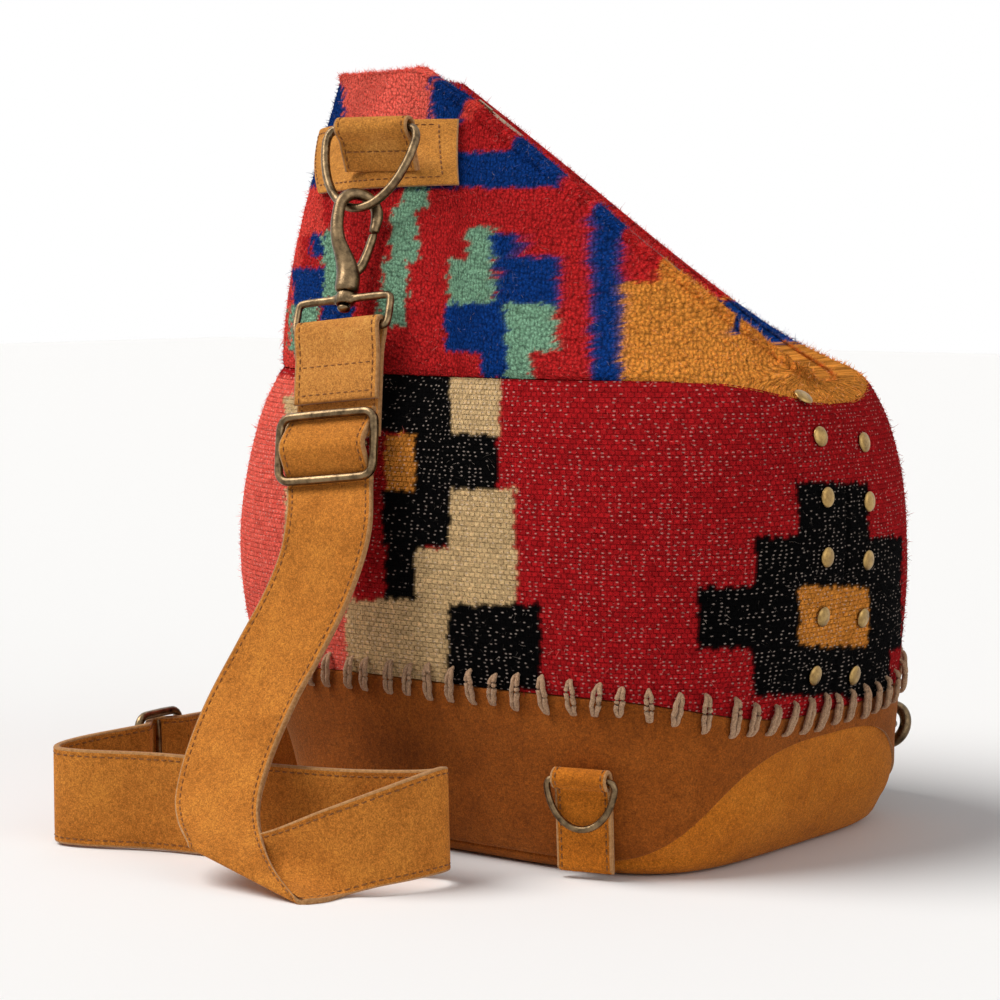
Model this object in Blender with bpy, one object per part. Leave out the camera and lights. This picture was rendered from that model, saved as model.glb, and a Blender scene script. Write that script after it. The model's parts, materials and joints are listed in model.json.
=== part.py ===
"""Slouchy shoulder bag: two woven wool panels over a boxed suede foot, with a zipped sloping top,
a wide suede strap, swivel hooks, D rings, adjusting sliders and rivets.

Metres, +Z up. The origin is the middle of the foot, on the floor. +X runs from the tall end of the
bag to the short end, and -Y is the front, where the strap hangs.
"""

import math

import bpy
import numpy as np
from mathutils import Matrix, Vector

# The gap kept between pieces that touch.
SEAT = 0.0003

# The bag's body. Each ring is a rounded outline: its height at the tall end and at the short end,
# its reach to -X and to +X, its half depth, and how square it is (2 is an ellipse).
FOOT_LEFT = 0.098
FOOT_RIGHT = 0.110
FOOT_DEPTH = 0.097
SKIRT_HEIGHT = 0.0755
SKIRT_DIP_SHORT = 0.013
SKIRT_DIP_TALL = 0.012
SEAM_HEIGHT = 0.204
SEAM_DIP = 0.011
APEX_HEIGHT = 0.340
SHORT_END_HEIGHT = SEAM_HEIGHT - 0.0015
BODY_SIDES = 64
BOTTOM_ARCH = 0.052
BOTTOM_LIP = 0.006

# The top edge, where the zip lies.
RIDGE_LEFT = -0.145
RIDGE_RIGHT = 0.116
RIDGE_HALF_TALL = 0.017
RIDGE_HALF_SHORT = 0.011
APEX_LENGTH = 0.056
RIDGE_SQUARE = 4.0
UPPER_RINGS = 11
VALLEY_HALF = 0.0082
VALLEY_DEPTH = 0.0045

# The zip, in the valley along the top. The slider's post runs in the gap between the two halves,
# and its bridge holds the bar of the pull.
ZIP_MARGIN = 0.018
TAPE_OUT = 0.0062
TAPE_IN = 0.0034
TAPE_THICK = 0.0012
TAPE_LIFT = 0.0009
TOOTH_PITCH = 0.0060
TOOTH_SHARE = 0.55
ZIP_GAP = 0.0022
SLIDER_LENGTH = 0.0130
SLIDER_WIDTH = 0.0092
SLIDER_THICK = 0.0013
SLIDER_CLEAR = 0.0004
SLIDER_PLACE = 0.030
BRIDGE_HALF = 0.0045
BRIDGE_WIRE = 0.0010
BRIDGE_WIDTH = 0.0016
BRIDGE_SPACE = 0.0023
PULL_LENGTH = 0.0240
PULL_WIDTH = 0.0072
PULL_ARM = 0.0016
PULL_THICK = 0.0012

# The strap and its short tabs.
STRAP_WIDTH = 0.042
STRAP_THICK = 0.0030
TAB_THICK = 0.0024
TAB_FRONT = 0.032
TAB_BACK = 0.048

# Rings, loops and hooks. LOOP_CLEAR lies between a bar and the strip folded round it.
D_WIRE = 0.0020
D_WIDTH = 0.0465
D_DROP = 0.0400
LOOP_THICK = 0.0016
LOOP_LENGTH = 0.037
LOOP_CLEAR = 0.0006
TONGUE_DROP = 0.030
TONGUE_BACK = 0.0068
PATCH_THICK = 0.0014
PATCH_GAP = 0.0010
# The patch's corners: degrees round the bag, and how far below the apex.
PATCH_CORNERS = ((229, 0.0568), (264.5, 0.0545), (202.5, 0.0255), (260, 0.0241))
SMALL_WIDTH = 0.0300
SMALL_DROP = 0.0210
SMALL_WIRE = 0.0014
SMALL_LOOP_LENGTH = 0.0240
SMALL_TONGUE = 0.040
SMALL_TONGUE_BACK = 0.0030
HOOK_REACH = 0.0445
HOOK_HALF = 0.0088
HOOK_RISE = -0.0022
HOOK_WIRE = 0.0026
GATE_WIRE = 0.0015
NOSE_DROP = 0.0100
GATE_FOOT = 0.0052
FRAME_WIRE = 0.0017
FRAME_WIDTH = STRAP_WIDTH + 2 * (FRAME_WIRE + LOOP_CLEAR)
FRAME_DROP = 0.0150
BOSS_RADIUS = 0.0042
BOSS_HEIGHT = 0.0056
POST_RADIUS = 0.0016
POST_CLEAR = 0.0004
GLIDE_WIRE = 0.0019
GLIDE_WIDTH = STRAP_WIDTH + 2 * (GLIDE_WIRE + LOOP_CLEAR)
GLIDE_DROP = 0.0285
GLIDE_BAR = 0.0014
GLIDE_SLACK = 0.0010
GLIDE_CORNER = 0.0055

# The rivets.
RIVET_RADIUS = 0.0046
RIVET_HEIGHT = 0.0018
RIVET_SPREAD = 0.0165
RIVET_MIDDLE = -0.005
RIVET_HEIGHTS = np.linspace(SKIRT_HEIGHT + 0.0045, SEAM_HEIGHT - 0.0240, 5)
RIVET_BACK_DROP = 0.004
TOP_RIVET_ANGLE = math.radians(349)
TOP_RIVET_RISE = 0.10

# Where the strap's gear hangs: the large ring's bar, which stands this far off the front below the
# apex, the hook's end, and how far each piece leans out from straight down. All of it turns to the
# same heading.
HEADING = math.radians(11)
HANG_OFF = 0.0015
ROLL = math.radians(6)
RING_X = -0.0725
RING_BELOW_APEX = 0.0275
RING_OFF = 0.0292
RING_LEAN = math.radians(24)
HOOK_LEAN = math.radians(26)
TAB_LEAN = math.radians(15)
HOOK_TURN = math.radians(48)
GLIDE_AT = -0.0530
GLIDE_OUT = -0.0078

# The small rings on the skirt: the heading and the places of their bars, front and back.
SMALL_HEADING = math.radians(16)
SMALL_PLACE = Vector((0.0760, -0.1107, 0.0430))
BACK_SWING = math.radians(62)
BACK_HOOK_AT = math.radians(122)
BACK_HOOK_DOWN = Vector((-0.985, 0.16, -0.07))
UPRIGHT = Vector((0.0, 0.0, -1.0))

# The strap below the top slider: its middle, and the way that its width points.
STRAP_HANGING = (
    ((-0.0386, -0.1345, 0.1437), (0.98, 0.17, 0.0)),
    ((-0.0400, -0.1375, 0.1286), (0.98, 0.15, 0.0)),
    ((-0.0448, -0.1430, 0.1100), (0.98, 0.14, -0.06)),
    ((-0.0516, -0.1520, 0.0892), (0.98, 0.14, -0.1)),
)
# Both edges of the strap where it folds over on the slant, from hanging to standing on its edge.
STRAP_FOLD = (
    ((-0.0799, -0.1660, 0.0668), (-0.0342, -0.1600, 0.0706)),
    ((-0.0768, -0.1820, 0.0471), (-0.0351, -0.1740, 0.0490)),
    ((-0.0705, -0.1950, 0.0307), (-0.0299, -0.1875, 0.0321)),
    ((-0.0615, -0.2030, 0.0227), (-0.0190, -0.1975, 0.0199)),
    ((-0.0532, -0.2080, 0.0188), (-0.0046, -0.2055, 0.0103)),
    ((-0.0479, -0.2105, 0.0167), (0.0107, -0.2082, 0.0014)),
    ((-0.0463, -0.2075, 0.0164), (0.0147, -0.2045, 0.0005)),
    ((-0.0417, -0.2000, 0.0173), (0.0168, -0.1985, 0.0004)),
    ((-0.0210, -0.1960, 0.0223), (0.0180, -0.1880, 0.0011)),
    ((0.0062, -0.1900, 0.0342), (0.0261, -0.1790, 0.0038)),
    ((0.0252, -0.1735, 0.0433), (0.0329, -0.1660, 0.0052)),
    ((0.0323, -0.1500, 0.0482), (0.0356, -0.1490, 0.0058)),
)
# The middle of the strap where it stands on its edge, to the lower slider and on behind the bag.
STRAP_FLOOR = (
    (0.0290, -0.1420, 0.0258),
    (0.0150, -0.1440, 0.0235),
    (-0.0150, -0.1540, 0.0220),
    (-0.0560, -0.1640, 0.0216),
    (-0.1000, -0.1740, 0.0218),
    (-0.1340, -0.1900, 0.0220),
    (-0.1480, -0.1900, 0.0223),
    (-0.1500, -0.1740, 0.0236),
)
LOW_GLIDE = Vector((-0.1460, -0.1300, 0.0262))
LOW_GLIDE_WAY = Vector((-0.10, 1.0, 0.0))
STRAP_BEHIND = (
    (-0.1510, -0.0900, 0.0244),
    (-0.1630, -0.0500, 0.0225),
    (-0.1660, 0.0200, 0.0218),
    (-0.1580, 0.0850, 0.0218),
    (-0.1320, 0.1350, 0.0222),
    (-0.0850, 0.1560, 0.0240),
)

COLOURS = {
    "wool_red": ((0.50, 0.03, 0.04), 0.95, 0.0),
    "wool_warm": ((0.55, 0.08, 0.06), 0.95, 0.0),
    "suede": ((0.47, 0.21, 0.06), 0.9, 0.0),
    "suede_light": ((0.55, 0.27, 0.09), 0.9, 0.0),
    "brass": ((0.36, 0.28, 0.17), 0.35, 1.0),
    "zip_metal": ((0.42, 0.34, 0.2), 0.4, 1.0),
    "zip_tape": ((0.08, 0.05, 0.04), 0.9, 0.0),
}


def clear_scene():
    for obj in list(bpy.data.objects):
        bpy.data.objects.remove(obj, do_unlink=True)


def material(name):
    """A plain finish from COLOURS, made once."""
    if name in bpy.data.materials:
        return bpy.data.materials[name]
    colour, roughness, metallic = COLOURS[name]
    made = bpy.data.materials.new(name)
    made.use_nodes = True
    shader = made.node_tree.nodes["Principled BSDF"]
    shader.inputs["Base Color"].default_value = (*colour, 1.0)
    shader.inputs["Roughness"].default_value = roughness
    shader.inputs["Metallic"].default_value = metallic
    made.diffuse_color = (*colour, 1.0)
    return made


def add_object(name, data, finish):
    """An object of this mesh or curve in the scene, with its finish."""
    obj = bpy.data.objects.new(name, data)
    bpy.context.scene.collection.objects.link(obj)
    data.materials.append(material(finish))
    return obj


def rings_object(name, rings, finish, first_centre=None, last_centre=None):
    """A closed body lofted through closed rings of equal counts, its two ends closed by fans."""
    count = len(rings[0])
    centres = (
        np.mean(rings[0], axis=0) if first_centre is None else first_centre,
        np.mean(rings[-1], axis=0) if last_centre is None else last_centre,
    )
    points = np.vstack([*rings, *[np.reshape(c, (1, 3)) for c in centres]])
    first, last = len(points) - 2, len(points) - 1
    top = (len(rings) - 1) * count
    faces = []
    for k in range(len(rings) - 1):
        for i in range(count):
            j = (i + 1) % count
            faces.append((k * count + i, k * count + j, (k + 1) * count + j, (k + 1) * count + i))
    for i in range(count):
        j = (i + 1) % count
        faces.append((first, j, i))
        faces.append((last, top + i, top + j))
    return mesh_object(name, points, faces, finish)


def mesh_object(name, points, faces, finish):
    """A mesh object with its faces turned outwards and its round parts smooth."""
    mesh = bpy.data.meshes.new(name)
    mesh.from_pydata([tuple(map(float, p)) for p in points], [], [tuple(f) for f in faces])
    mesh.update()
    turn_outwards(mesh)
    mesh.shade_smooth()
    mesh.set_sharp_from_angle(angle=math.radians(40))
    return add_object(name, mesh, finish)


def turn_outwards(mesh):
    """Flips a closed mesh whose volume comes out negative."""
    mesh.calc_loop_triangles()
    corners = np.array([[mesh.vertices[i].co for i in t.vertices] for t in mesh.loop_triangles])
    volume = np.einsum("ij,ij->i", corners[:, 0], np.cross(corners[:, 1], corners[:, 2])).sum()
    if volume < 0:
        mesh.flip_normals()


def slab_object(name, outer, inner, finish):
    """A sheet with thickness: two grids of points, rows by columns, joined round their edges."""
    rows, columns = outer.shape[:2]
    points = np.vstack([outer.reshape(-1, 3), inner.reshape(-1, 3)])
    inside = rows * columns

    def at(r, c, layer=0):
        return layer * inside + r * columns + c

    faces = []
    for r in range(rows - 1):
        for c in range(columns - 1):
            faces.append((at(r, c), at(r, c + 1), at(r + 1, c + 1), at(r + 1, c)))
            faces.append((at(r, c, 1), at(r + 1, c, 1), at(r + 1, c + 1, 1), at(r, c + 1, 1)))
    for c in range(columns - 1):
        faces.append((at(0, c + 1), at(0, c), at(0, c, 1), at(0, c + 1, 1)))
        faces.append((at(rows - 1, c), at(rows - 1, c + 1), at(rows - 1, c + 1, 1), at(rows - 1, c, 1)))
    for r in range(rows - 1):
        faces.append((at(r, 0), at(r + 1, 0), at(r + 1, 0, 1), at(r, 0, 1)))
        last = columns - 1
        faces.append((at(r + 1, last), at(r, last), at(r, last, 1), at(r + 1, last, 1)))
    return mesh_object(name, points, faces, finish)


def wire_object(name, points, radius, finish, cyclic=False, sides=8):
    """A round wire along these points, as a curve with a bevel."""
    curve = bpy.data.curves.new(name, "CURVE")
    curve.dimensions = "3D"
    curve.bevel_depth = radius
    curve.bevel_resolution = sides // 2 - 2
    curve.use_fill_caps = True
    spline = curve.splines.new("POLY")
    spline.points.add(len(points) - 1)
    for spot, place in zip(spline.points, points):
        spot.co = (*place, 1.0)
    spline.use_cyclic_u = cyclic
    return add_object(name, curve, finish)


# The bag's body


def rounded_outline(angle, left, right, depth, square):
    """A superellipse: |x/reach|^n + |y/depth|^n = 1, with its own reach at each end."""
    c, s = np.cos(angle), np.sin(angle)
    x = np.sign(c) * np.abs(c) ** (2 / square)
    y = np.sign(s) * np.abs(s) ** (2 / square)
    return np.where(x < 0, -left, right) * np.abs(x), depth * y


def body_angles(count=BODY_SIDES):
    return np.arange(count) * 2 * math.pi / count


def body_profile(height):
    """Reach to -X, reach to +X, half depth and squareness of the body at a share of the seam's height."""
    stations = np.array([0.0, 0.07, 0.20, 0.34, 0.60, 0.82, 0.92, 1.0])
    left = np.array([FOOT_LEFT, 0.110, 0.124, 0.148, 0.167, 0.166, 0.164, 0.161])
    right = np.array([FOOT_RIGHT, 0.120, 0.125, 0.130, 0.137, 0.136, 0.132, 0.126])
    depth = np.array([FOOT_DEPTH, 0.105, 0.109, 0.112, 0.114, 0.109, 0.104, 0.096])
    square = np.array([4.6, 4.2, 3.8, 3.3, 2.9, 2.65, 2.45, 2.25])
    share = height / SEAM_HEIGHT
    return [smooth_read(share, stations, values) for values in (left, right, depth, square)]


def smooth_read(share, stations, values):
    """Reads a smooth curve through a few stations, with slopes from its neighbours (a cubic Hermite)."""
    slopes = np.gradient(values, stations)
    k = np.clip(np.searchsorted(stations, share, side="right") - 1, 0, len(stations) - 2)
    span = stations[k + 1] - stations[k]
    t = np.clip((share - stations[k]) / span, 0.0, 1.0)
    start, end = values[k], values[k + 1]
    return (
        start * (2 * t**3 - 3 * t**2 + 1)
        + slopes[k] * span * (t**3 - 2 * t**2 + t)
        + end * (-2 * t**3 + 3 * t**2)
        + slopes[k + 1] * span * (t**3 - t**2)
    )


def lower_surface(angle, height):
    """Points of the body below the seam: angle round the bag, and height above the floor."""
    angle, height = np.broadcast_arrays(np.asarray(angle, float), np.asarray(height, float))
    left, right, depth, square = body_profile(height)
    x, y = rounded_outline(angle, left, right, depth, square)
    return np.stack([x, y, height], axis=-1)


def ridge_height(x):
    """The top edge: level over the apex, then a straight slope down to the short end."""
    start = RIDGE_LEFT + APEX_LENGTH
    share = np.clip((x - start) / (RIDGE_RIGHT - start), 0.0, 1.0)
    return APEX_HEIGHT + (SHORT_END_HEIGHT - APEX_HEIGHT) * share


def ridge_half(x):
    """Half width of the top: wider over the apex than at the short end."""
    share = (x - RIDGE_LEFT) / (RIDGE_RIGHT - RIDGE_LEFT)
    return RIDGE_HALF_TALL + (RIDGE_HALF_SHORT - RIDGE_HALF_TALL) * np.clip(share, 0.0, 1.0)


def upper_surface(angle, rise):
    """Points of the body above the seam: rise goes from 0 at the seam to 1 at the top edge."""
    angle, rise = np.broadcast_arrays(np.asarray(angle, float), np.asarray(rise, float))
    foot = lower_surface(angle, seam_height(angle))
    x, y = rounded_outline(angle, -RIDGE_LEFT, RIDGE_RIGHT, 1.0, RIDGE_SQUARE)
    y = y * ridge_half(x)
    top = np.stack([x, y, ridge_height(x)], axis=-1)
    across = 1 - rise**1.9
    along = 1 - rise**1.15
    return np.stack(
        [
            top[..., 0] + (foot[..., 0] - top[..., 0]) * along,
            top[..., 1] + (foot[..., 1] - top[..., 1]) * across,
            foot[..., 2] + (top[..., 2] - foot[..., 2]) * rise,
        ],
        axis=-1,
    )


def front_at(x, height):
    """The front of the upper panel at this x and this height."""
    angle = np.radians(np.linspace(190, 300, 441))
    base, top = upper_surface(angle, 0.0)[:, 2], upper_surface(angle, 1.0)[:, 2]
    spots = upper_surface(angle, np.clip((height - base) / (top - base), 0.0, 1.0))
    return Vector((x, float(np.interp(x, spots[:, 0], spots[:, 1])), height))


def normals_of(surface, angle, level, step=1e-3):
    """Outward normals of a surface, from the cross product of its two slopes."""
    level = np.asarray(level, float)
    around = surface(angle + step, level) - surface(angle - step, level)
    up = surface(angle, level + step) - surface(angle, level - step)
    normal = np.cross(around, up)
    return normal / np.linalg.norm(normal, axis=-1, keepdims=True)


def arch_height(angle):
    """Top edge of the bottom panel: a low lip along front and back, and an arch at each end."""
    return BOTTOM_LIP + (BOTTOM_ARCH - BOTTOM_LIP) * np.abs(np.cos(angle)) ** 5


def skirt_top(angle):
    """Height of the stitched line: it dips at the two ends of the bag."""
    c = np.cos(angle)
    return SKIRT_HEIGHT - np.where(c > 0, SKIRT_DIP_SHORT * c**4, SKIRT_DIP_TALL * c**2)


def seam_height(angle):
    """Height of the seam between the woven panels: level, but lower at the short end."""
    return SEAM_HEIGHT - SEAM_DIP * np.clip(np.cos(angle), 0.0, 1.0) ** 12


def body():
    angle = body_angles()
    # The bottom panel: a small flat foot, its rounded edge, and the turned-up ends.
    flat = lower_surface(angle, np.zeros(BODY_SIDES))
    arch = arch_height(angle) - SEAT / 2
    rings = [flat] + [lower_surface(angle, arch * share) for share in (0.35, 0.7, 1.0)]
    middle = (0.0, 0.0, BOTTOM_ARCH / 2)
    rings_object("suede_bottom", rings, "suede_light", first_centre=(0, 0, 0), last_centre=middle)
    # The skirt, from the bottom panel's edge to the stitched line.
    arch = arch_height(angle) + SEAT / 2
    top = skirt_top(angle) - SEAT / 2
    rings = [lower_surface(angle, arch + (top - arch) * share) for share in (0.0, 0.33, 0.66, 1.0)]
    raised = (0.0, 0.0, BOTTOM_ARCH / 2 + SEAT)
    rings_object("suede_skirt", rings, "suede", first_centre=raised)
    # The lower woven panel.
    low, high = skirt_top(angle) + SEAT / 2, seam_height(angle) - SEAT / 2
    rings = [lower_surface(angle, low + (high - low) * share) for share in np.linspace(0, 1, 7)]
    rings_object("kilim_lower", rings, "wool_red")
    # The upper woven panel, closed along the ridge.
    rings = [upper_surface(angle, rise) for rise in np.linspace(0, 1, UPPER_RINGS)]
    rings[0] = rings[0] + np.array([0, 0, SEAT / 2])
    edge = rings[-1]
    rings += [valley_ring(edge, 0.0, 0.0), valley_ring(edge, 0.0012, VALLEY_DEPTH)]
    rings_object("kilim_upper", rings, "wool_warm", last_centre=ridge_middle())


def valley_ring(edge, inset, depth):
    """The rim of the zip's valley, from the top edge: drawn in to the valley's width, and lowered."""
    ends = np.array([RIDGE_LEFT, RIDGE_RIGHT])
    middle, reach = ends.mean(), (ends[1] - ends[0]) / 2
    x = middle + (edge[:, 0] - middle) * (reach - 0.004 - inset) / reach
    y = np.sign(edge[:, 1]) * np.minimum(np.abs(edge[:, 1]) * 0.8, VALLEY_HALF - inset * 0.2)
    return np.stack([x, y, ridge_height(x) - depth], axis=-1)


def ridge_middle():
    """The middle of the sloping top."""
    x = (RIDGE_LEFT + APEX_LENGTH + RIDGE_RIGHT) / 2
    return (x, 0.0, float(ridge_height(x)) - VALLEY_DEPTH)


def skin_patch(name, surface, angle, level, gap, thick, finish):
    """A sheet of this thickness that lies on a surface, with a gap under it."""
    normal = normals_of(surface, angle, level)
    skin = surface(angle, level)
    return slab_object(name, skin + normal * (gap + thick), skin + normal * gap, finish)


def patch():
    """The suede patch under the large ring, between its four corners on the upper panel."""
    low_left, low_right, top_left, top_right = np.array(PATCH_CORNERS) * (1, -1) + (0, APEX_HEIGHT)
    along, up = np.meshgrid(np.linspace(0, 1, 12), np.linspace(0, 1, 6))
    along, up = along[..., None], up[..., None]
    low = low_left + (low_right - low_left) * along
    high = top_left + (top_right - top_left) * along
    corner = low + (high - low) * up
    angle = np.radians(corner[..., 0])
    x, _ = rounded_outline(angle, -RIDGE_LEFT, RIDGE_RIGHT, 1.0, RIDGE_SQUARE)
    rise = (corner[..., 1] - SEAM_HEIGHT) / (ridge_height(x) - SEAM_HEIGHT)
    skin_patch("patch", upper_surface, angle, rise, PATCH_GAP, PATCH_THICK, "suede_light")


# Straps, loops and wires


def unit(v):
    v = np.asarray(v, float)
    return v / np.linalg.norm(v, axis=-1, keepdims=True)


def hung_frame(place, down, across):
    """A frame at a place. -Z points down the piece, X runs across it and -Y faces out."""
    z = -Vector(down).normalized()
    x = (Vector(across) - z * Vector(across).dot(z)).normalized()
    frame = Matrix((x, z.cross(x), z)).transposed().to_4x4()
    frame.translation = Vector(place)
    return frame


def leaning(place, heading, lean, roll=0.0):
    """A frame for a hanging piece: X turned by the heading, -Z leaning out from the bag by the lean
    and sideways by the roll."""
    tilt = Matrix.Rotation(-roll, 4, "Y") @ Matrix.Rotation(-lean, 4, "X")
    frame = Matrix.Rotation(heading, 4, "Z") @ tilt
    frame.translation = Vector(place)
    return frame


def set_origin(obj, frame):
    """Moves an object's origin to a frame and leaves its shape where it is."""
    obj.data.transform(frame.inverted())
    obj.matrix_world = frame
    return obj


def placed(frame, points):
    """Local points carried into the frame, as an array."""
    return np.array([frame @ Vector(p) for p in points])


def curve_through(points, per_span=4):
    """A smooth curve through the points (Catmull-Rom), with its ends kept."""
    points = np.asarray(points, float)
    padded = np.vstack([2 * points[0] - points[1], points, 2 * points[-1] - points[-2]])
    out = []
    for k in range(1, len(padded) - 2):
        a, b, c, d = padded[k - 1 : k + 3]
        for t in np.arange(per_span) / per_span:
            bend = (2 * a - 5 * b + 4 * c - d) * t**2 + (3 * b - a - 3 * c + d) * t**3
            out.append(0.5 * (2 * b + (c - a) * t + bend))
    out.append(points[-1])
    return np.array(out)


def ribbon_object(name, middle, half, thick, finish):
    """A flat strip along a middle line. The half vectors run from the middle to one edge."""
    tangent = np.gradient(middle, axis=0)
    face = unit(np.cross(tangent, half)) * thick / 2
    edges = np.stack([middle - half, middle + half], axis=1)
    return slab_object(name, edges + face[:, None], edges - face[:, None], finish)


def folded_strip(name, frame, profile, width, thick, finish, per_span=3):
    """A strip of this width whose side view is a smooth line through the profile's (y, z) points."""
    line = curve_through([(0.0, y, z) for y, z in profile], per_span)
    middle = placed(frame, line)
    half = np.tile(np.array(frame.col[0][:3]) * width / 2, (len(middle), 1))
    return ribbon_object(name, middle, half, thick, finish)


# Rings and their loops


def d_outline(width, drop, wire):
    """The middle line of a D: a straight bar, tight corners and a half-round bow below."""
    corner = wire * 1.2
    bar = [(-width / 2 + corner, 0, 0), (0, 0, 0), (width / 2 - corner, 0, 0)]
    turns = np.linspace(math.radians(8), math.radians(172), 19)
    bow = [(width / 2 * math.cos(t), 0, -drop * math.sin(t)) for t in turns]
    return bar + bow


def d_ring(name, frame, width, drop, wire):
    ring = wire_object(name, placed(frame, d_outline(width, drop, wire)), wire, "brass", cyclic=True)
    return set_origin(ring, frame)


def loop_profile(wire, thick, tongue, reach):
    """Side view of a strip folded round a bar, with both its layers running down behind the ring.
    The layers' ends reach back to the bag."""
    fold = wire + LOOP_CLEAR + thick / 2
    back = fold + thick + SEAT
    return [
        (back + reach, -tongue),
        (back + reach / 2, -tongue * 0.5),
        (back, -fold * 1.6),
        (back * 0.86, fold * 0.4),
        (fold * 0.35, fold * 1.18),
        (-fold * 0.85, fold * 0.75),
        (-fold * 1.12, -fold * 0.25),
        (-fold * 0.35, -fold * 1.25),
        (fold * 0.9, -fold * 2.1),
        (fold + reach / 2, -tongue * 0.55),
        (fold + reach, -tongue * 0.97),
    ]


# Hooks, swivel rings and sliders


def hook_path():
    """Middle line and thickness of the hook, in its own (across, down) plane, from the post's head
    up through the barrel, round the bow and down to the nose."""
    reach, half = HOOK_REACH, HOOK_HALF
    boss = BOSS_HEIGHT / 2
    head = POST_RADIUS * 1.9
    turns = np.linspace(0, math.pi, 10)
    return [
        (0, -reach - boss - 0.0030, head * 0.8),
        (0, -reach - boss - 0.0008, head),
        (0, -reach - boss - SEAT, POST_RADIUS),
        (0, -reach + boss + SEAT, POST_RADIUS),
        (0, -reach + boss + 0.0008, 0.0044),
        (0, -reach + boss + 0.0060, 0.0052),
        (-0.0012, -reach + boss + 0.0110, 0.0045),
        (-half * 0.62, -reach + boss + 0.0180, 0.0034),
        (-half, -0.0200, 0.0030),
        *[(-half * math.cos(t), HOOK_RISE + half * math.sin(t), HOOK_WIRE) for t in turns],
        (half * 0.98, -0.0070, 0.0022),
        (half * 0.93, -NOSE_DROP, 0.0018),
    ]


def hook(name, frame, turn):
    """The hook body, turned about its post, and its sprung gate with the gate's pivot."""
    turned = frame @ Matrix.Rotation(turn, 4, "Z")
    path = hook_path()
    body_wire = wire_object(name, placed(turned, [(s, 0, z) for s, z, _ in path]), 1.0, "brass", sides=10)
    for spot, (_, _, radius) in zip(body_wire.data.splines[0].points, path):
        spot.radius = radius
    pivot = Vector((GATE_FOOT, 0, -HOOK_REACH + BOSS_HEIGHT / 2 + 0.0135))
    tip = Vector((HOOK_HALF * 0.93, 0, -NOSE_DROP - SEAT * 2))
    line = [pivot.lerp(tip, k) for k in (0.0, 0.5, 1.0)]
    gate = wire_object(name.replace("hook", "gate"), placed(turned, line), GATE_WIRE, "brass")
    set_origin(body_wire, turned)
    set_origin(gate, turned @ Matrix.Translation(pivot))


def swivel_ring(name, frame):
    """The strap's oblong ring, its boss bored for the hook's post. The frame's origin is the boss."""
    half, drop = FRAME_WIDTH / 2, FRAME_DROP
    corner = FRAME_WIRE * 1.5
    near = corner * 0.3
    points = [(BOSS_RADIUS * 0.75, 0), (half - corner, 0), (half - near, -near), (half, -corner)]
    points += [(half, -drop + corner), (half - near, -drop + near), (half - corner, -drop)]
    points = points + [(-x, z) for x, z in reversed(points)]
    wire = wire_object(name, placed(frame, [(x, 0, z) for x, z in points]), FRAME_WIRE, "brass")
    ring = mesh_from_curve(wire)
    union(ring, bored_boss(name + "_boss", frame))


def union(target, helper):
    """Joins a helper shape to an object and leaves the helper as a wire."""
    helper.hide_render = True
    helper.display_type = "WIRE"
    join = target.modifiers.new(helper.name, "BOOLEAN")
    join.operation = "UNION"
    join.solver = "EXACT"
    join.object = helper


def mesh_from_curve(curve_object):
    """Replaces a curve object by a mesh object of the same name and shape."""
    graph = bpy.context.evaluated_depsgraph_get()
    mesh = bpy.data.meshes.new_from_object(curve_object.evaluated_get(graph))
    name = curve_object.name
    bpy.data.objects.remove(curve_object, do_unlink=True)
    mesh.materials.clear()
    return add_object(name, mesh, "brass")


def bored_boss(name, frame, sides=16):
    """A short tube round the post, to be joined to the ring."""
    rims = []
    for radius, z in (
        (POST_RADIUS + POST_CLEAR, -BOSS_HEIGHT / 2),
        (BOSS_RADIUS, -BOSS_HEIGHT / 2),
        (BOSS_RADIUS, BOSS_HEIGHT / 2),
        (POST_RADIUS + POST_CLEAR, BOSS_HEIGHT / 2),
    ):
        turns = np.arange(sides) * 2 * math.pi / sides
        rims.append(placed(frame, [(radius * math.cos(t), radius * math.sin(t), z) for t in turns]))
    points = np.vstack(rims)
    faces = []
    for k in range(4):
        for i in range(sides):
            j = (i + 1) % sides
            n = (k + 1) % 4
            faces.append((k * sides + i, k * sides + j, n * sides + j, n * sides + i))
    return mesh_object(name, points, faces, "brass")


def glide(name, frame):
    """An adjusting slider: a rounded oblong wire, and a bar across its middle between the sides."""
    half, tall, corner = GLIDE_WIDTH / 2, GLIDE_DROP / 2, GLIDE_CORNER
    points = []
    for cx, cz, start in ((half, tall, 0), (-half, tall, 90), (-half, -tall, 180), (half, -tall, 270)):
        for t in np.radians(np.linspace(start, start + 90, 5)):
            x = cx - math.copysign(corner, cx) + corner * math.cos(t)
            z = cz - math.copysign(corner, cz) + corner * math.sin(t)
            points.append((x, 0, z))
    wire_object(name, placed(frame, points), GLIDE_WIRE, "brass", cyclic=True)
    end = half - GLIDE_WIRE - SEAT
    wire_object(name + "_bar", placed(frame, [(-end, 0, 0), (0, 0, 0), (end, 0, 0)]), GLIDE_BAR, "brass")


# The strap, its tabs and its gear


def tab_line(front, back, near):
    """Side view of a short tab: its back layer up to the ring's bar at the origin, round it, and
    down the front. Each layer's middle is this near to the plane between them."""
    fold = FRAME_WIRE + LOOP_CLEAR + TAB_THICK / 2
    return [
        (near, -back),
        (near, -back * 0.55),
        (near * 1.1, -0.0110),
        (fold, -0.0010),
        (fold * 0.6, fold * 0.95),
        (-fold * 0.6, fold * 0.95),
        (-fold, -0.0010),
        (-near * 1.1, -0.0110),
        (-near, -front * 0.6),
        (-near, -front),
    ]


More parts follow.
